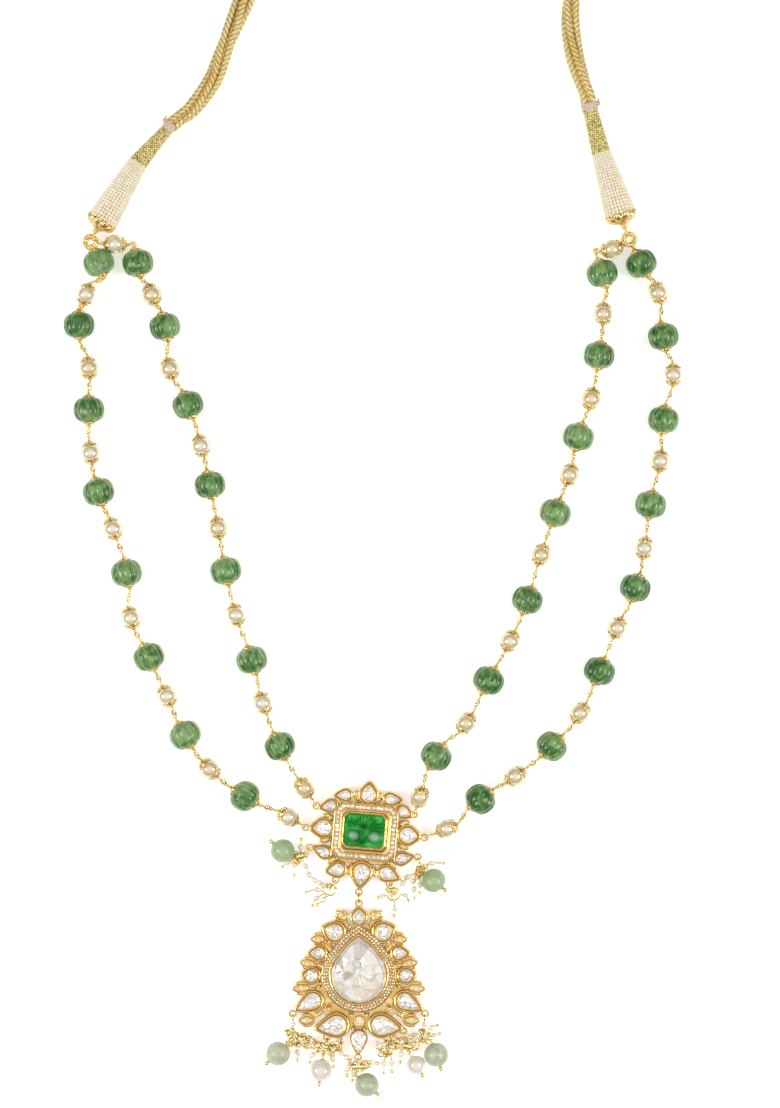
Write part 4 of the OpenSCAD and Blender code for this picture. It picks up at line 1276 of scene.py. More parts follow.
def make_string(side, hub=None, lead=None):
    """A string; an inner one starts from its hub with a pearl that lies across, the lead."""
    beads, joints = STRINGS[side]
    node = "string_" + side
    runs, melon_caps, pearl_caps, pearls = [], [], [], []
    for bead, before, after in zip(beads, joints, joints[1:]):
        first = ON_HUB if bead is beads[0] and not lead else STEEP
        last = HANGING if bead is beads[-1] else SHALLOW
        runs += bead_runs(bead, before, after, first, last)
    if lead:
        pull = Vector(lead) - Vector(hub)
        e = flat(Vector(hub) + (HUB_R + EYE_R - CAUGHT) * pull.normalized(), HUB_Z)
        lead_bead = Bead(flat(lead, PEARL_Z), unit(joints[0] - e), False)
        runs += bead_runs(lead_bead, e, joints[0], HANGING, {"tilt": 0})
        beads = [*beads, lead_bead]
    else:
        runs += hub_runs(joints[0])
    for bead in beads:
        runs.append(([bead.end(-1), bead.end(1)], 0.3))
        for end in (-1, 1):
            at = bead.at + end * bead.cap_at * bead.way
            caps = melon_caps if bead.green else pearl_caps
            caps.append(facing(at, end * bead.way, chance.uniform(0, 6)))
        if not bead.green:
            swell = Matrix.Diagonal((chance.uniform(1.03, 1.07), 1.05, chance.uniform(1.0, 1.04), 1))
            pearls.append(facing(bead.at, bead.way, chance.uniform(0, 6)) @ swell)
    dress(wires(node + "_wire", runs, WIRE), "gold wire", node, smooth=60)
    green_caps = copies(node + "_caps", melon_cap, melon_caps)
    caps = join(node + "_caps", [green_caps, copies("pearl caps", pearl_cap, pearl_caps)])
    dress(caps, "granulated gold", node, smooth=50)
    dress(copies(node + "_pearls", pearl_shape, pearls), "pearl", node, smooth=80)


make_string("left_outer")
make_string("left_inner", LEFT_HUB, LEFT_LEAD)
make_string("right_inner", RIGHT_HUB, RIGHT_LEAD)
make_string("right_outer")

# %% [markdown]
# ## A setting drawn out to a tip
#
# Every small stone sits in a setting shaped like a petal: a round seat drawn out to a point. In
# plan it goes from the outside in as a polished rim, a deep groove, a thin bright bezel and the
# stone. Each outline is a function of how far it is drawn in, so every ring of a setting follows
# the same shape: round on the seat's side, and bent softly to the tip on the other.

# %% Outlines
def petal_outline(petal, points=40):
    """A round seat drawn out to a tip, as a function of how far the outline is drawn in."""
    x, y, r0, tip_x, tip_y = petal
    way = Vector((tip_x - x, tip_y - y))
    reach0 = way.length
    turn = atan2(way.y, way.x)

    def at(inset):
        r, reach = r0 - inset, reach0 - 1.35 * inset
        half = acos(min(0.999, r / reach))
        tangent = Vector((cos(half), sin(half))) * r
        found = []
        for k in range(points):
            a = (tau * k / points + pi) % (tau) - pi
            p = Vector((r * cos(a), r * sin(a)))
            if abs(a) < half:
                t = 1 - abs(a) / half
                p = tangent.lerp(Vector((reach, 0)), t) + 0.18 * t * (1 - t) * reach * tangent.normalized()
                p.y = copysign(p.y, a) if k else 0.0
            found.append((x + p.x * cos(turn) - p.y * sin(turn),
                          y + p.x * sin(turn) + p.y * cos(turn)))
        return found
    return at


def cushion_outline(w, h, r, middle=(0, 0), points=96):
    """A rectangle whose corners are rounded off by a circle of radius r."""
    def at(inset):
        found = []
        for k in range(points):
            c, s = cos(tau * k / points), sin(tau * k / points)
            to_side, to_end = (w / 2 - inset) / max(abs(c), 1e-6), (h / 2 - inset) / max(abs(s), 1e-6)
            reach = min(r - inset, to_side, to_end)
            found.append((middle[0] + reach * c, middle[1] + reach * s))
        return found
    return at


def round_outline(x, y, r, points=32):
    return cushion_outline(4 * r, 4 * r, r, (x, y), points)


# %% [markdown]
# One function cuts all settings. It starts from a flat face in the outline, extrudes the top
# face, and fits the new one to the outline drawn in by a given width at a given height. The last
# face stays the selected one, so the next step goes on from it.

# %% Settings
# Painted shade on the outer wall of each raised part, where it stands on the plate.
EDGE_SHADE = 0.4      # how dark a wall is that stands on the plate
PETAL_T = 4.2         # height of a petal
STONE_Z = 3.3         # height of a flat stone's underside


def raised(name, outline, steps):
    """A solid that follows an outline upwards: steps of inset, height and, where a step gives it, the
    painted shade of that ring.
    """
    count = len(outline(steps[0][0]))
    bpy.ops.mesh.primitive_circle_add(vertices=count, radius=MM, fill_type="NGON", location=(0, 0, 0))
    piece = only(bpy.context.object)
    piece.name = name
    edit()
    everything()
    order = None
    for step, (width, z, *dark) in enumerate(steps):
        if order:
            bpy.ops.mesh.extrude_region_move(TRANSFORM_OT_translate={"value": (0, 0, 0)})
        mesh = bmesh.from_edit_mesh(piece.data)
        shade = mesh.verts.layers.float.get("shade") or mesh.verts.layers.float.new("shade")
        top = [v for v in mesh.verts if v.select]
        if order:
            top.sort(key=lambda v: order[tuple(v.co)])
        for v, (x, y) in zip(top, outline(width)):
            v.co = Vector((x, y, z)) * MM
            # Each ring gets painted shade: the step's own, or the edge shade on the first two rings, the
            # outer wall.
            v[shade] = dark[0] if dark else EDGE_SHADE if step < 2 else 0.0
        order = {tuple(v.co): k for k, v in enumerate(top)}
        bmesh.update_edit_mesh(piece.data)
    turn_outwards()
    return piece


def gold_width(petal):
    """How wide the gold round a stone is."""
    return min(1.5, 0.1 + 0.36 * petal[2])


def setting(name, petal, width=None):
    """One petal-shaped setting: a round rim, a groove darkened with painted shade, and an inner rim round
    the stone; the outer wall and the wall down to the stone's seat carry painted shade too.
    """
    t, width = PETAL_T, width or gold_width(petal)
    rim, inner = 0.5 * width, 0.72 * width
    seat = inner + 0.26 * width
    return raised(name, petal_outline(petal), [
        (0, 0), (0, t - 0.36), (0.1 * rim, t - 0.18), (0.27 * rim, t - 0.05), (0.48 * rim, t),
        (0.6 * rim, t), (0.8 * rim, t - 0.05), (0.94 * rim, t - 0.17, 0.3), (rim, t - 0.34, 0.6),
        (rim + 0.04, t - 0.5, 0.9), (inner - 0.05, t - 0.52, 0.7), (inner, t - 0.34, 0.2),
        (inner + 0.05, t - 0.2), (inner + 0.1, t - 0.14), (seat - 0.1, t - 0.14),
        (seat - 0.04, t - 0.19), (seat, t - 0.3, 0.5), (seat, t - 0.8, 0.5)])


def poke_top(piece):
    """Gives the topmost face a point in its middle."""
    edit()
    top = max(v.co.z for v in piece.data.vertices)
    pick("faces", lambda f: f.calc_center_median().z > top - 0.01 * MM)
    bpy.ops.mesh.poke()
    edit(False)


def flat_stone(name, petal, inset=None):
    """An uncut diamond: a low crown with a few broad facets that are a little uneven."""
    inset = inset or gold_width(petal) - 0.03
    size = petal[2] - inset
    low, crown = STONE_Z + 0.5, 0.62
    piece = raised(name, petal_outline(petal, 12), [
        (inset, STONE_Z), (inset, low), (inset + 0.24 * size, low + 0.55 * crown),
        (inset + 0.58 * size, low + crown)])
    poke_top(piece)
    for v in piece.data.vertices:
        if v.co.z > (low + 0.1) * MM:
            v.co += scatter(0.05, 0.05, 0.05) * size * MM
    mark(piece, "tone", [chance.random()] * len(piece.data.vertices))
    edit()
    turn_outwards(triangles=True)
    return piece


def leaf_outline(x, y, length, turn, half_width=1.5, points=24):
    """A pointed oval."""
    c, s = cos(radians(turn)), sin(radians(turn))

    def at(inset):
        found = []
        for k in range(points):
            a = tau * k / points
            along = (length / 2 - 1.6 * inset) * cos(a)
            across = (half_width - inset) * sin(a) * abs(sin(a)) ** 0.35
            found.append((x + along * c - across * s, y + along * s + across * c))
        return found
    return at


def leaf(name, spec, top=2.97):
    """A leaf of gold with a rim, its middle sunk for stones; its outer and inner walls carry painted
    shade, and its sunk middle a little.
    """
    return raised(name, leaf_outline(*spec), [
        (0, 0), (0, top - 0.3), (0.04, top - 0.14), (0.1, top - 0.03), (0.18, top), (0.25, top - 0.03),
        (0.32, top - 0.16, 0.4), (0.36, top - 0.34, 0.6), (0.7, top - 0.3, 0.1)])


# %% [markdown]
# ## The centre pendant
#
# Twelve petals stand round a carved emerald in a plain bezel with a band of small diamonds. All
# of it is soldered to one flat gold back. The pendant lies turned a few degrees clockwise, so it
# is built straight and turned at the end.

# %% Centre pendant: petals and plate
CENTRE_PETALS = [
    (0.1, 12, 3.5, 0.2, 16.9), (7.4, 11.2, 2.45, 12, 11.2), (-7.5, 11.4, 2.4, -11.7, 10.9),
    (12, 7.4, 2.5, 15.6, 5.7), (-12.1, 7.5, 2.5, -16.3, 6.2), (14.1, -0.4, 3.7, 19, -0.7),
    (-13.9, -0.1, 3.7, -19.1, -0.7), (12.6, -8.4, 2.55, 17.4, -6.9), (-13, -8.3, 2.5, -17.5, -6.4),
    (8, -13.6, 3.1, 13.2, -15.4), (-8.1, -13.6, 3, -12.7, -14.7), (-0.2, -13.9, 3.9, -0.5, -19.9),
]
CENTRE_TURN = Matrix.Rotation(radians(-4.6), 4, "Z")
EMERALD_AT = (-0.4, 0.15)
BAND_MIDDLE = (-0.1, -0.35)
# Painted shade on the top of a plate that lies low between the petals.
RECESS_SHADE = 0.3          # how dark a plate is between the petals


def plate(name, outline, thickness):
    """A flat plate with a softened upper edge, its top darkened with painted shade because it lies low
    between the petals.
    """
    return raised(name, outline, [(0, 0), (0, thickness - 0.15), (0.15, thickness, RECESS_SHADE)])


parts = [setting(f"petal {k}", p) for k, p in enumerate(CENTRE_PETALS)]
parts.append(plate("plate", cushion_outline(22.6, 22.4, 13.5), 1.6))
# The third number in a step of the band and the bezels is painted shade in their channels and on their
# walls.
parts.append(raised("band", cushion_outline(21.6, 19.1, 12.7, BAND_MIDDLE), [
    (0, 0), (0, 4.5), (0.05, 4.66), (0.14, 4.76), (0.22, 4.78), (0.3, 4.74), (0.36, 4.6, 0.4),
    (0.38, 4.35, 0.6), (2.3, 4.35, 0.6), (2.34, 4.6, 0.4), (2.4, 4.76), (2.5, 4.8), (2.62, 4.7)]))
parts.append(raised("bezel", cushion_outline(16.5, 14.1, 9.6, (-0.2, -0.2)), [
    (0, 4.0, 0.6), (0, 4.8), (0.06, 4.96), (0.16, 5.06), (0.28, 5.08), (0.4, 5.04), (0.5, 4.94, 0.3),
    (0.56, 4.8, 0.7), (0.7, 4.8, 0.7), (1.0, 5.1, 0.3), (1.4, 5.2, 0.4)]))
parts.append(raised("bezel wall", cushion_outline(14.75, 12.05, 8.5, EMERALD_AT), [
    (0, 4.8, 0.8), (0, 5.35), (0.06, 5.52), (0.16, 5.62), (0.28, 5.64), (0.4, 5.58), (0.5, 5.4, 0.3),
    (0.54, 5.0, 0.8)]))

# %% [markdown]
# Small gold triangles fill the gaps between the petals and the band. They are short three-sided
# pegs with softened edges, half way between neighbouring petals, and each stands on a small leaf.

# %% Centre pendant: triangles and loops
def triangle(x, y, to_x, to_y, size):
    """A peg whose plan is a triangle that points from one place to another; its walls carry painted shade.
    """
    away = atan2(to_y - y, to_x - x)

    def outline(inset):
        r = size - 2 * inset
        return [(x + r * cos(away + tau * k / 3), y + r * sin(away + tau * k / 3)) for k in range(3)]
    return raised("gap", outline, [(0, 1.2, 0.9), (0, 4.1, 0.8), (0.05, 4.24), (0.12, 4.3)])


ordered = sorted(CENTRE_PETALS, key=lambda p: atan2(p[1], p[0]))
for a, b in zip(ordered, ordered[1:] + ordered[:1]):
    middle = (Vector(a[:2]) + Vector(b[:2])) / 2
    parts.append(triangle(*middle * 0.93, 0, 0, 0.95))
    parts.append(leaf("leaf", (*middle * 0.97, 4.4, degrees(atan2(middle.y, middle.x)), 1.2)))

LOOP_DROPS = [(-18.6, -5.7), (17.5, -8.9), (-9.95, -16.5), (7.9, -17.6)]
LOOP_BOTTOM = (-2.2, -20.6)


def solder_loops(name, spots):
    runs = [circle_run(flat(p, LOOP_Z), EAST, NORTH, LOOP_R, 28) for p in spots]
    return wires(name, runs, 0.34, roundness=3)


centre = put(join("centre_setting", parts), CENTRE_TURN)
loops = solder_loops("loops", [*STRING_LOOPS.values(), LOOP_BOTTOM, *LOOP_DROPS])
dress(join("centre_setting", [centre, loops]), "gold", "centre_frame", smooth=32)

stones = [flat_stone(f"stone {k}", p) for k, p in enumerate(CENTRE_PETALS)]
dress(put(join("centre_stones", stones), CENTRE_TURN), "uncut diamond", "centre_polki", smooth=5)

# %% [markdown]
# ## Bands of small diamonds
#
# Both pendants have a band of small diamonds, each in its own seat with grains pressed over its
# edge. The stone is an eight-sided cut with a flat table; it is modelled once with few faces. The
# places come from walking along the band's middle line in even steps.

# %% Pave
small_stone = shape_of(raised("small stone", round_outline(0, 0, 1, 8), [
    (0, 0), (0, 0.25), (0.2, 0.53), (0.48, 0.67)]))


def walk(outline, count, shift=0.0):
    """Evenly spaced points on a closed outline, with the way along it at each."""
    ring = [Vector(p) for p in outline]
    ring.append(ring[0])
    reach = np.r_[0, np.cumsum([(b - a).length for a, b in zip(ring, ring[1:])])]
    found = []
    for k in range(count):
        s = reach[-1] * ((k + shift) % count) / count
        j = min(int(np.searchsorted(reach, s, "right")) - 1, len(ring) - 2)
        t = (s - reach[j]) / (reach[j + 1] - reach[j])
        found.append((ring[j].lerp(ring[j + 1], t), (ring[j + 1] - ring[j]).normalized()))
    return found


def pave_band(name, outline, count, width, z, stone_r, node, place=Matrix.Identity(4)):
    """Stones along an outline, with pairs of grains between them."""
    gems, grains = [], []
    for at, way in walk(outline, count):
        spot = flat(at, z) + scatter(0.03, 0.03).to_3d()
        tilted = scatter(0.05, 0.05).to_3d() + UP
        gems.append(facing(spot, tilted, chance.uniform(0, 6), stone_r))
    for at, way in walk(outline, count, 0.5):
        across = Vector((way.y, -way.x))
        for side in (-1, 1):
            grains.append(facing(flat(at + side * width / 2 * across, z + 0.12), size=0.21))
    dress(put(copies(name, small_stone, gems), place), "pave diamond", node, smooth=5)
    dress(put(copies(name + "_grains", grain_shape, grains), place), "gold", node, smooth=80)


ring = cushion_outline(18.92, 16.42, 11.36, BAND_MIDDLE)(0)
pave_band("centre_diamonds", ring, 46, 1.72, 4.4, 0.72, "centre_pave", CENTRE_TURN)

# %% [markdown]
# ## The carved emerald
#
# The emerald is a cushion with a flower cut into its top: fans of leaves above and below, and a
# round bud on each side. Cutting each leaf as a separate shape would leave seams, so a fine grid
# is added and its points are lowered or raised by one height function, as a carver would work down
# from a flat face. Its rim is then extruded down and closed. The depth of each cut is kept for the
# finish, which darkens the lines and the sunk middle with painted shade and lightens each bud
# with a painted highlight.

# %% Emerald
EMERALD_W, EMERALD_H, EMERALD_R = 13.65, 10.95, 7.9


def carved(x, y):
    """Height of the carving in mm, and from 0 to 1 how deep in a line, for painted shade, and how far on a
    bud, for a painted highlight.
    """
    lines, bud_highlight = np.zeros_like(x), np.zeros_like(x)
    dome = 0.55 * (1 - (x / 7.2) ** 2) * (1 - (y / 5.9) ** 2)
    height = dome.copy()

    def fan(cx, cy, first, last, leaves, near, far, depth):
        nonlocal height, lines
        dx, dy = x - cx, y - cy
        angle, reach = np.degrees(np.arctan2(dy, dx)), np.hypot(dx, dy)
        t = (angle - first) / (last - first) * leaves
        inside = (t > 0) & (t < leaves) & (reach > near)
        edge = np.clip(1 - np.abs(t - np.round(t)) * reach / 0.16, 0, 1)
        fade = np.clip((far - reach) / 1.2, 0, 1) * np.clip((reach - near) / 0.5, 0, 1)
        ridge = np.abs(np.sin(np.pi * t))
        height = height + np.where(inside, fade * (0.24 * ridge - 1.4 * depth * edge), 0)
        lines = np.maximum(lines, np.where(inside, fade * edge, 0))

    def bud(cx, cy, r, rings):
        nonlocal height, lines, bud_highlight
        d = np.hypot((x - cx) / 1.12, y - cy)
        inside = d < r
        swell = 0.85 * np.sqrt(np.clip(1 - (d / r) ** 2, 0, 1))
        height = np.where(inside, dome * 0.6 + swell - 0.12, height)
        lines = np.where(inside, 0, lines)
        bud_highlight = np.maximum(bud_highlight, np.clip(1.15 - d / r, 0, 1) * inside)
        for ring_r in rings:
            cut = np.clip(1 - np.abs(d - ring_r) / 0.13, 0, 1)
            height, lines = height - 0.12 * cut, np.maximum(lines, cut)
        curl = (x - cx) * 0.85 + (y - cy) * 0.5 + 0.22 * (y - cy) ** 2
        shell = np.clip(1 - np.abs((curl + 9) % 0.56 - 0.28) / 0.1, 0, 1) * (d < 0.7 * r)
        height, lines = height - 0.07 * shell, np.maximum(lines, 0.55 * shell)

    fan(0.0, 1.0, -12, 192, 13, 0.35, 6.6, 0.14)
    fan(0.0, 1.0, 205, 335, 9, 0.3, 6.2, 0.12)
    fan(-0.1, -4.6, 25, 155, 9, 0.2, 3.4, 0.14)
    bud(-3.5, -1.75, 1.95, (1.35, 1.9))
    bud(3.55, -1.75, 2.05, (1.45, 2.0))
    rise = np.clip((np.hypot(x, y - 1.0)) / 0.55, 0, 1)
    height, lines = height - 0.16 * (1 - rise), np.maximum(lines, 0.6 * (1 - rise))
    return height, lines, bud_highlight


bpy.ops.mesh.primitive_grid_add(x_subdivisions=150, y_subdivisions=118, size=MM, location=(0, 0, 0))
gem = only(bpy.context.object)
grid = np.array([v.co[:2] for v in gem.data.vertices]) / MM * 2
share_out = np.abs(grid).max(axis=1)
angle = np.arctan2(grid[:, 1] * EMERALD_H, grid[:, 0] * EMERALD_W)
to_side = EMERALD_W / 2 / np.maximum(np.abs(np.cos(angle)), 1e-6)
to_end = EMERALD_H / 2 / np.maximum(np.abs(np.sin(angle)), 1e-6)
reach = share_out * np.minimum(EMERALD_R, np.minimum(to_side, to_end))
gx, gy = reach * np.cos(angle), reach * np.sin(angle)
height, lines, bud_highlight = carved(gx, gy)
edge = np.clip((share_out - 0.9) / 0.1, 0, 1)
gz = 5.75 + (height + 0.35) * (1 - edge) - 0.8 * edge ** 2
for v, x, y, z in zip(gem.data.vertices, gx, gy, gz):
    v.co = Vector((x + EMERALD_AT[0], y + EMERALD_AT[1], z)) * MM
# The depth mark is painted shade in the cut lines and the sunk middle; the pale mark is a painted
# highlight on each bud.
mark(gem, "depth", np.clip(lines + 0.6 * np.exp(-np.hypot(gx, gy - 1.0) ** 2 / 4), 0, 1))
mark(gem, "pale", bud_highlight)
edit()
everything()
bpy.ops.mesh.region_to_loop()
bpy.ops.mesh.extrude_region_move(TRANSFORM_OT_translate={"value": (0, 0, -1.6 * MM)})
bpy.ops.mesh.edge_face_add()
turn_outwards()
gem.name = gem.data.name = "carved_emerald"
dress(put(gem, CENTRE_TURN), "emerald", "centre_emerald", smooth=60)

# %% [markdown]
# ## The lower pendant
#
# The same petals stand round a large pear-shaped uncut diamond. Small leaves of gold, set with
# tiny stones, point out between them: each is one broad leaf over two narrow ones, on a stem of
# three more, and a strip carries it from behind. The right half is given as numbers, and the left
# half is the same numbers with x reversed.

# %% Lower pendant: setting
LOWER_AT = Matrix.Translation(Vector((-2.2, -48.1, 0)) * MM)
LOWER_MIDDLE = [(0, 19.2, 3.1, 0, 23.2), (0, -21.2, 3, -0.3, -26.9)]
LOWER_SIDE = [(8, 14.3, 3.85, 12.8, 16.1), (13.2, 7.3, 2.8, 17.4, 7.2), (15.7, -0.2, 3.1, 19.6, 0.2),
              (15.3, -8.6, 3.7, 21.8, -12.2), (7.4, -16.8, 4.4, 15.1, -18)]
LEAVES = [(6.1, 19.8, 4.6, 47), (13.6, 11.8, 5.4, 0), (17, 3.7, 5.8, 10), (19.2, -4.6, 6.4, -5),
          (17.6, -15.3, 5.4, -3)]
PEAR = (0, 0, 9.3, 0, 12.9)
pear_outline = petal_outline(PEAR, 96)
lower_petals = LOWER_MIDDLE + LOWER_SIDE + [(-x, y, r, -tx, ty) for x, y, r, tx, ty in LOWER_SIDE]
all_leaves = LEAVES + [(-x, y, length, 180 - turn) for x, y, length, turn in LEAVES]
STRIP_WIDTH, STRIP_T, STRIP_Z = 2.4, 2.1, 1.1


def strip(x, y):
    """A gold strip behind the stones, from the pendant's middle to a leaf."""
    bpy.ops.mesh.primitive_cube_add(size=MM, location=(0, 0, 0))
    piece = only(bpy.context.object)
    reach = hypot(x, y)
    bar = Matrix.Diagonal((reach, STRIP_WIDTH, STRIP_T, 1))
    middle = Matrix.Translation((reach / 2 * MM, 0, STRIP_Z * MM))
    put(piece, Matrix.Rotation(atan2(y, x), 4, "Z") @ middle @ bar)
    edit()
    everything()
    bpy.ops.mesh.bevel(offset=0.15 * MM, segments=2)
    edit(False)
    return piece


parts = [setting(f"petal {k}", p) for k, p in enumerate(lower_petals) if k != 1]
parts.append(setting("foot petal", LOWER_MIDDLE[1], 0.5))
for x, y, length, turn in all_leaves:
    way = level(radians(turn)).xy
    across = Vector((-way.y, way.x))
    parts.append(leaf("leaf", (x, y, length, turn)))
    for side in (-1, 1):
        at = Vector((x, y)) + 1.05 * side * across - 0.75 * way
        parts.append(leaf("side leaf", (*at, 0.86 * length, turn + 17 * side, 1.25), 2.6))
    out = degrees(atan2(y, x))
    for side in (-1, 0, 1):
        at = Matrix.Rotation(radians(3.2 * side), 2) @ Vector((x, y)) * (0.74 + 0.03 * abs(side))
        parts.append(leaf("stem leaf", (*at, 5.4, out + 9 * side, 0.95), 2.9 - 0.35 * abs(side)))
parts += [strip(x, y) for x, y, length, turn in all_leaves]
parts.append(plate("plate", round_outline(0, 0, 12.6, 64), 1.4))
parts.append(plate("foot plate", round_outline(0, -3.5, 15.2, 64), 1.45))
parts.append(plate("tail", petal_outline((0, -13, 3.4, 0, -19.4)), 1.6))
# The third number in a step of the band and the bezel is painted shade in the channel and on the walls.
parts.append(raised("band", pear_outline, [
    (-3.1, 0), (-3.1, 4.35), (-3.06, 4.5), (-2.99, 4.6), (-2.9, 4.63), (-2.82, 4.58),
    (-2.77, 4.45, 0.4), (-2.75, 4.25, 0.8), (-0.8, 4.25, 0.8), (-0.75, 4.3)]))
parts.append(raised("bezel", pear_outline, [
    (-0.8, 4.0, 0.8), (-0.8, 4.9, 0.3), (-0.74, 5.06), (-0.63, 5.18), (-0.5, 5.22), (-0.36, 5.2),
    (-0.22, 5.12), (-0.08, 4.96, 0.3), (0.0, 4.78, 0.7), (0.05, 4.5, 0.9)]))

# %% [markdown]
# Under the band sits a small round seat for seven tiny stones, between little gold triangles, and
# more triangles fill the gaps beside the petals.

# %% Lower pendant: round seat, triangles and loops
SEAT_AT = (0.1, -15.6)
GAPS = [    # place, the place that the triangle points to, and size, on the right side
    (2.5, -13.4, 0, -30, 1.0), (1.95, -17.9, 0, 0, 0.85), (3.0, 16.0, 0, 40, 0.95),
    (9.9, 11.0, 20, 8, 0.9), (13.3, 3.4, 30, 3, 0.8), (13.4, -3.8, 30, -4, 0.9), (9.9, -11.2, 20, -9, 1.0),
]
parts.append(raised("seat", round_outline(*SEAT_AT, 1.95), [
    (0, 0), (0, 3.55), (0.12, 3.68), (0.34, 3.68), (0.42, 3.6), (0.42, 3.3)]))
for x, y, to_x, to_y, size in GAPS:
    parts += [triangle(side * x, y, side * to_x, to_y, size) for side in (-1, 1)]

LOOP_LOWER_TOP = (-2.2, -24.3)
LOOP_LOWER_DROPS = [
    (-24.3, -61.2), (-12.9, -69.1), (-2.5, -75.8), (7.2, -69.6), (12.7, -67.1), (19.9, -61.2)]
lower = put(join("lower_setting", parts), LOWER_AT)
loops = solder_loops("loops", [LOOP_LOWER_TOP, *LOOP_LOWER_DROPS])
dress(join("lower_setting", [lower, loops]), "gold", "lower_frame", smooth=32)

stones = [flat_stone(f"stone {k}", p, 0.45 if k == 1 else None) for k, p in enumerate(lower_petals)]
dress(put(join("lower_stones", stones), LOWER_AT), "uncut diamond", "lower_petal_polki", smooth=5)
for row, inset, count in (("outer", -2.27, 73), ("inner", -1.31, 66)):
    pave_band(f"lower_diamonds_{row}", pear_outline(inset), count, 0.94, 4.28, 0.375,
              "lower_pave", LOWER_AT)

# %% [markdown]
# Each leaf carries three tiny stones in a row, with grains of gold between them, and the round seat
# holds six stones round a seventh. They are copies of the small stone of the bands.

# %% Lower pendant: small stones of the leaves and the round seat
gems, grains = [], []
for x, y, length, turn in all_leaves:
    middle, way = flat((x, y), 2.75), level(radians(turn))
    across = UP.cross(way)
    for t, size in ((-0.27, 0.5), (0.02, 0.55), (0.28, 0.42)):
        gems.append(facing(middle + t * length * way, turn=chance.uniform(0, 6), size=size))
    for t in (-0.13, 0.16):
        for side in (-1, 1):
            at = middle + t * length * way + 0.75 * side * across
            grains.append(facing(flat(at, 2.95), size=0.2))
for k in range(7):
    out = level(tau * k / 6) if k < 6 else Vector()
    gems.append(facing(flat(SEAT_AT, 3.4) + out, turn=k, size=0.46))
dress(put(copies("leaf_diamonds", small_stone, gems), LOWER_AT), "pave diamond", "lower_frame", smooth=5)
dress(put(copies("leaf_grains", grain_shape, grains), LOWER_AT), "gold", "lower_frame", smooth=80)

# %% [markdown]
# ## The big pear-shaped diamond
#
# This stone is cleaved, not cut: broad uneven facets meet near the middle, a striped grey one
# stands in the upper half, and fine cracks run through it. The outline is raised in four steps
# and its last face gets a point in the middle. Then the upper points are moved a little, each its
# own way, which makes the facets uneven.

# %% Pear-shaped diamond
big = raised("big stone", petal_outline(PEAR, 18), [
    (0.12, 3.0), (0.12, 4.6), (1.3, 5.4), (3.9, 5.95), (6.6, 6.15)])
poke_top(big)
for v in big.data.vertices:
    if v.co.z > 5.0 * MM:
        loose = 1.0 if v.co.z > 5.9 * MM else 0.4
        v.co += loose * scatter(0.5, 0.6, 0.14) * MM
edit()
turn_outwards(triangles=True)
big.name = big.data.name = "pear_diamond"
dress(put(big, LOWER_AT), "big diamond", "lower_polki", smooth=5)

# %% [markdown]
# ## The link between the pendants
#
# One upright jump ring joins the two pendants.

# %% Link
middle = flat((Vector(LOOP_BOTTOM) + Vector(LOOP_LOWER_TOP)) / 2, LOOP_Z)
link = wires("link_ring", [circle_run(middle, NORTH, UP, 1.65, 30)], 0.35, roundness=3)
dress(link, "gold", "pendant_link", smooth=60)

# %% [markdown]
# ## Drops
#
# From the foot of each pendant hang bunches of drops: thin wires with a seed pearl or two and a
# tiny ball, wound together with a coil of gold wire round the same eye. A bunch is collected as
# lists of wires, seeds and balls, and becomes three pieces at the end.

# %% Collecting a bunch
JADES = {    # place, radius, and the way that the bore runs; each lies on the table
    "jade_centre_left": (-27.6, -6.5, 4.1, 142), "jade_centre_right": (22.7, -16.5, 4.1, -40),
    "jade_lower_left": (-29.1, -74.2, 4.1, -139), "jade_lower_middle": (0.5, -84.7, 4.1, -40),
    "jade_lower_right": (23.6, -74.6, 4.1, -72),
}
DROP_PEARLS = {"drop_pearl_left": (-14.8, -79.8, 3.8, -98), "drop_pearl_right": (17, -78.1, 3.25, -60)}
SEED_R, SMALL_SEED_R, END_BALL_R = 0.95, 0.8, 0.6
COIL_Z, DROP_Z, SEED_Z, END_BALL_Z = 2.2, 2, 1.2, 1.1


def at_height(p, z):
    """A point in space; z is for a point that has no height of its own."""
    return Vector(p) if len(p) == 3 else flat(p, z)


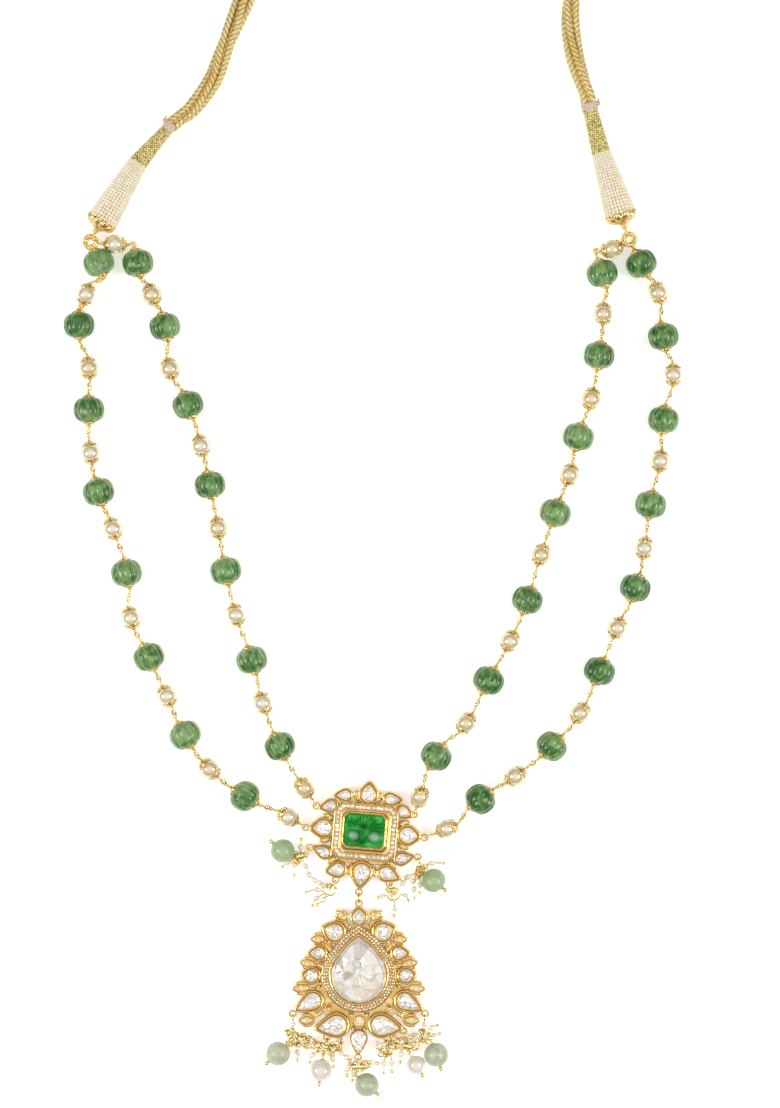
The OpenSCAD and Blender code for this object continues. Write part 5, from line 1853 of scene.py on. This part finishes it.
class Bunch:
    def __init__(self):
        self.runs, self.seeds, self.balls = [], [], []

    def ring(self, at, r):
        """A level ring with three short coils round it."""
        self.runs.append((circle_run(at, EAST, NORTH, r, 24), 0.3))
        for k in range(3):
            a = chance.uniform(0, 6.28)
            out = level(a)
            coil = circle_run(Vector(at) + r * out, out, UP, 0.48, 10, 2.5, a, 0.5 * UP.cross(out))
            self.runs.append((coil, 0.16))

    def eye(self, loop, to):
        """An upright eye in a pendant's loop, and the wire from it."""
        at = eye_beside(loop, to)
        way = unit(Vector(to) - at)
        self.runs.append((circle_run(at, flat(way, 0).normalized(), UP, EYE_R, 20), 0.3))
        self.runs.append(([at + EYE_R * way, Vector(to)], 0.28))

    def coil(self, start, end, r=1.5):
        """Turns of wire round a core, with loose turns across them."""
        start, end = flat(start, COIL_Z), flat(end, COIL_Z)
        self.runs.append(([start, end], 0.75 * r - 0.2))
        turns = wind(start, end, lambda t: r - 0.3 + 0.12 * sin(9 * t), 0.52, points=16)
        self.runs.append((turns, 0.24))
        self.tangle([start, end], 9, r)

    def tangle(self, path, count, spread, seeds=0):
        """Loose turns of wire at all angles along a path, with seeds caught in them."""
        line = flowing([at_height(p, COIL_Z) for p in path], 0.5)
        for k in range(count):
            here = chance.choice(line) + 0.5 * spread * scatter(0.7, 0.7).to_3d()
            x, y = sides_of(any_way())
            r = chance.uniform(0.55, 0.8) * spread
            here.z = max(here.z, r + 0.3)
            turn = circle_run(here, x, y, r, 14, chance.uniform(0.8, 1.6), chance.uniform(0, 6))
            self.runs.append((turn, 0.26))
        for k in range(seeds):
            here = chance.choice(line) + spread * (scatter(0.6, 0.6).to_3d() + 0.3 * UP)
            self.seeds.append(facing(here, turn=chance.uniform(0, 6), size=chance.uniform(0.75, 0.95)))

    def drop(self, start, *points, r=SEED_R, ball=True):
        """A wire from a point through seeds to a small ball, or to a last bend."""
        *seeds, last = points
        at = [at_height(start, DROP_Z), *(at_height(p, SEED_Z) for p in seeds),
              at_height(last, END_BALL_Z)]
        self.runs.append((flowing(at, 0.6), 0.22))
        for before, here in zip(at, at[1:-1]):
            way = here - before
            self.seeds.append(facing(here, way, chance.uniform(0, 6), 1.1 * r))
            x, y = sides_of(way)
            for side in (-1, 1):
                rim = here + side * 1.1 * r * unit(way)
                self.runs.append((circle_run(rim, x, y, 0.3, 8), 0.12))
        if ball:
            self.balls.append(facing(at[-1], at[-1] - at[-2], size=END_BALL_R * 1.08))

    def bead_wire(self, bead, start):
        """The wire of a hanging bead, with a small ring at each end of the bore and an end ball."""
        x, y, r, turn = bead
        c, way = Vector((x, y, r)), level(radians(turn))
        top, end = c - (r + 1.1) * way, c + (r + 0.9) * way
        self.runs += [([top, end], 0.26), ([Vector(start), top], 0.26)]
        x, y = sides_of(way)
        self.runs.append((circle_run(top - 0.3 * way, x, y, 0.42, 10, 3.0, rise=0.9 * way), 0.17))
        for side in (-1, 1):
            self.runs.append((circle_run(c + side * (r - 0.05) * way, x, y, 0.55, 12), 0.2))
        self.balls.append(facing(end, way, size=0.8))

    def made(self, node):
        """Turns what was collected into pieces."""
        dress(wires(node + "_wire", self.runs, 0.2), "gold wire", node, smooth=60)
        dress(copies(node + "_seeds", drop_seed, self.seeds), "white pearl", node, smooth=80)
        dress(copies(node + "_balls", drop_ball, self.balls), "gold wire", node, smooth=80)


drop_seed = shape_of(put(ball(1.0, 14, 9), Matrix.Diagonal((0.93, 0.93, 1.05, 1))))
drop_ball = shape_of(ball(1.0, 12, 8))

# %% [markdown]
# The centre pendant has a bunch at its left and one at its right. In both a coil hangs from one
# loop with a jade bead and three drops, and a wire of seeds leads down from it to a level ring
# at the next loop, which has three more drops. A point without a height takes its kind's own.

# %% Bunches of the centre pendant
left = Bunch()
left.eye(LOOP_DROPS[0], (-21.6, -8.3, 2.2))
left.coil((-20.8, -8.1), (-23, -8.7))
left.bead_wire(JADES["jade_centre_left"], (-22.6, -8.6, 2.4))
left.drop((-22, -8.2, 2.4), (-21.7, -5.6, 1.6), (-21.5, -3, 1.2))
left.drop((-22.6, -8.9), (-26.1, -10.9), (-27.8, -12.3))
left.drop((-22.2, -8.8, 1.8), (-23.6, -11.6), (-23.8, -15))
left.drop((-21.6, -8.6), (-20, -12), (-18.9, -14.8), (-17.1, -16.7), (-15.3, -17.7),
          (-13.4, -18.4, 1.9), ball=False)
left.ring((-12, -19.8, 1.6), 2)
left.drop((-13.8, -20.6, 1.6), (-16.2, -19.9), (-20, -20.7))
left.drop((-13.6, -21.1, 1.6), (-16.3, -22.7), (-17.8, -25.3))
left.drop((-13, -21.5, 1.6), (-13.9, -23.3), (-16.1, -24.8))
left.eye(LOOP_DROPS[2], (-12, -19.8, LOOP_Z))
left.tangle([(-20.5, -7.8, 2.4), (-23, -9.2, 2.4), (-22.4, -11, 2)], 10, 1.4)
left.tangle([(-14.5, -19, 2), (-12, -18.2, 2)], 5, 1.0, 1)
left.made("fringe_centre_left")

right = Bunch()
right.eye(LOOP_DROPS[1], (18.7, -12.2, 2.2))
right.coil((18.4, -12.2), (17.7, -14.8))
right.bead_wire(JADES["jade_centre_right"], (18.4, -12.8, 3.2))
right.drop((18.7, -11.9, 2.6), (22.3, -11, 1.6), (26.1, -11, 1.2))
right.drop((17.5, -14.2), (16, -17), (16.2, -19.7), (16.5, -22.7))
right.drop((17.9, -14.4), (18.3, -18.2), (18.2, -21))
right.drop((18, -13.4), (14.2, -15.7), (12.7, -17.6), (10.8, -19.7, 1.9), ball=False)
right.ring((9.3, -21.3, 1.6), 2.1)
right.drop((7.25, -21.7, 1.7), (5.7, -22), (4.3, -22.5), r=SMALL_SEED_R)
right.drop((11.35, -21.5, 1.7), (13.3, -21.8), (14.4, -23.5), r=SMALL_SEED_R)
right.drop((9.5, -23.35, 1.7), (9.9, -26.2), (9.6, -28.6))
right.eye(LOOP_DROPS[3], (9.3, -21.3, LOOP_Z))
right.tangle([(18.6, -12, 2.6), (17.6, -15.5)], 9, 1.4)
right.tangle([(9.3, -21.3, 2), (8.2, -20, 2)], 6, 1.3, 1)
right.made("fringe_centre_right")

# %% [markdown]
# The lower pendant has six loops along its foot, each with a coil and drops, and most of them with
# a bead. The loose turns of wire between them are drawn at random along a few paths, because no
# two of them are alike on the real piece.

# %% Bunches of the lower pendant
foot = Bunch()
foot.eye(LOOP_LOWER_DROPS[0], (-24.2, -67.4, 2.2))
foot.seeds.append(facing((-24.2, -64.8, 2.2), NORTH, size=SEED_R))
foot.coil((-24.2, -67.2), (-24.6, -70.6))
foot.bead_wire(JADES["jade_lower_left"], (-24.6, -69.8, 2.4))
foot.drop((-24.2, -69), (-20.6, -71, 1.4), (-18.6, -72.4))
foot.drop((-24.4, -70.4), (-22.6, -74.3), (-22.8, -77))

foot.eye(LOOP_LOWER_DROPS[1], (-13.9, -73.2, 2))
foot.coil((-15.6, -73), (-12, -73.4), 1.4)
foot.bead_wire(DROP_PEARLS["drop_pearl_left"], (-14, -73.4, 2.4))
foot.drop((-15.3, -72.8), (-17.8, -75.2), (-18.6, -77.6))
foot.drop((-12.3, -73.4), (-10.3, -71.9), (-7.9, -71.2))
foot.drop((-12.3, -73.8), (-11, -76.4), (-10.7, -79))

foot.eye(LOOP_LOWER_DROPS[2], (-2.4, -79, 2))
foot.coil((-4.6, -78.8), (-0.2, -78.8), 1.4)
foot.bead_wire(JADES["jade_lower_middle"], (-2.6, -79.6, 2.4))
foot.drop((-4.2, -78.2), (-6.2, -76), (-8.4, -74.6))
foot.drop((-4.4, -78.8), (-6, -80), (-6.2, -82), r=SMALL_SEED_R)
foot.drop((-3.6, -79), (-4, -81.6), (-4.4, -83.6), r=SMALL_SEED_R)
foot.drop((-0.6, -78.2), (2, -77.6), (4, -78))

foot.eye(LOOP_LOWER_DROPS[3], (7.5, -73.4, 2))
foot.coil((7.6, -72.8), (7.4, -74.4), 1.9)
foot.drop((6.5, -73.6), (6.2, -78), (6.1, -81.2))
foot.drop((8.3, -73.6), (8.8, -77.6), (8.9, -80.6))

foot.eye(LOOP_LOWER_DROPS[4], (14, -71.6, 2))
foot.coil((12.8, -71.8), (15.4, -72.2))
foot.bead_wire(DROP_PEARLS["drop_pearl_right"], (14.4, -72.4, 2.4))
foot.drop((13, -72), (11.9, -75), (11.6, -77.6))

foot.eye(LOOP_LOWER_DROPS[5], (19.4, -67.4, 2.2))
foot.seeds.append(facing((19.7, -64.8, 2.2), NORTH, size=SEED_R))
foot.coil((19.4, -67.2), (19.9, -70.2))
foot.bead_wire(JADES["jade_lower_right"], (19.9, -69.8, 2.4))
foot.drop((19.6, -67.6, 2.4), (22, -66, 1.4), (24.2, -65.2))
foot.drop((19.8, -69.2), (23, -68.6, 1.3), (24.8, -68), r=SMALL_SEED_R)
foot.tangle([(-25.5, -67.5, 2.4), (-23, -70, 2.4), (-19.5, -70.5)], 40, 1.9, 7)
foot.tangle([(-19.5, -70.8), (-15, -72.4, 2.4), (-11, -72.6, 2.4), (-9, -71.5, 2)], 50, 1.9, 14)
foot.tangle([(-4.8, -78.4), (-2.2, -79.2), (0.6, -78.4)], 22, 1.4, 4)
foot.tangle([(5.2, -72), (7.4, -73.4), (9.2, -72.6)], 20, 1.9, 5)
foot.tangle([(9.4, -70), (13, -70.6), (17, -70, 2.4), (19.6, -68, 2.4)], 42, 1.8, 12)
foot.made("fringe_lower")

# %% [markdown]
# ## Jade beads and loose pearls
#
# The jade beads are hand-rounded, so they have soft flats and are not quite true. The loose pearls
# are baroque, with deeper dents. Both start as a ball, and a few patches are pulled in before the
# whole is smoothed.

# %% Loose beads
def hand_rounded(name, radius, dents, depth, squash):
    """A ball with dents, smoothed, then brought back to its radius and squashed along the bore."""
    piece = ball(radius, 40, 26)
    edit()
    for k in range(dents):
        pick_patch(radius, 0.62 * radius)
        share = 1 - chance.uniform(0.4, 1.0) * depth
        resize(share, share, share)
    edit(False)
    soften(piece, 10)
    reach = max(v.co.length for v in piece.data.vertices) / (radius * MM)
    put(piece, Matrix.Diagonal((1 / reach, 1 / reach, squash / reach, 1)))
    piece.name = piece.data.name = name
    return piece


for kind, finish_name, dents, depth, squash in ((JADES, "pale jade", 7, 0.035, 0.97),
                                                (DROP_PEARLS, "white pearl", 6, 0.06, 1.0)):
    for name, (x, y, r, turn) in kind.items():
        bead = hand_rounded(name + "_bead", r, dents, depth, squash)
        dress(put(bead, facing((x, y, r), level(radians(turn)))), finish_name, name, smooth=80)

# %% Finish
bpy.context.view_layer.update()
bpy.ops.object.select_all(action="DESELECT")
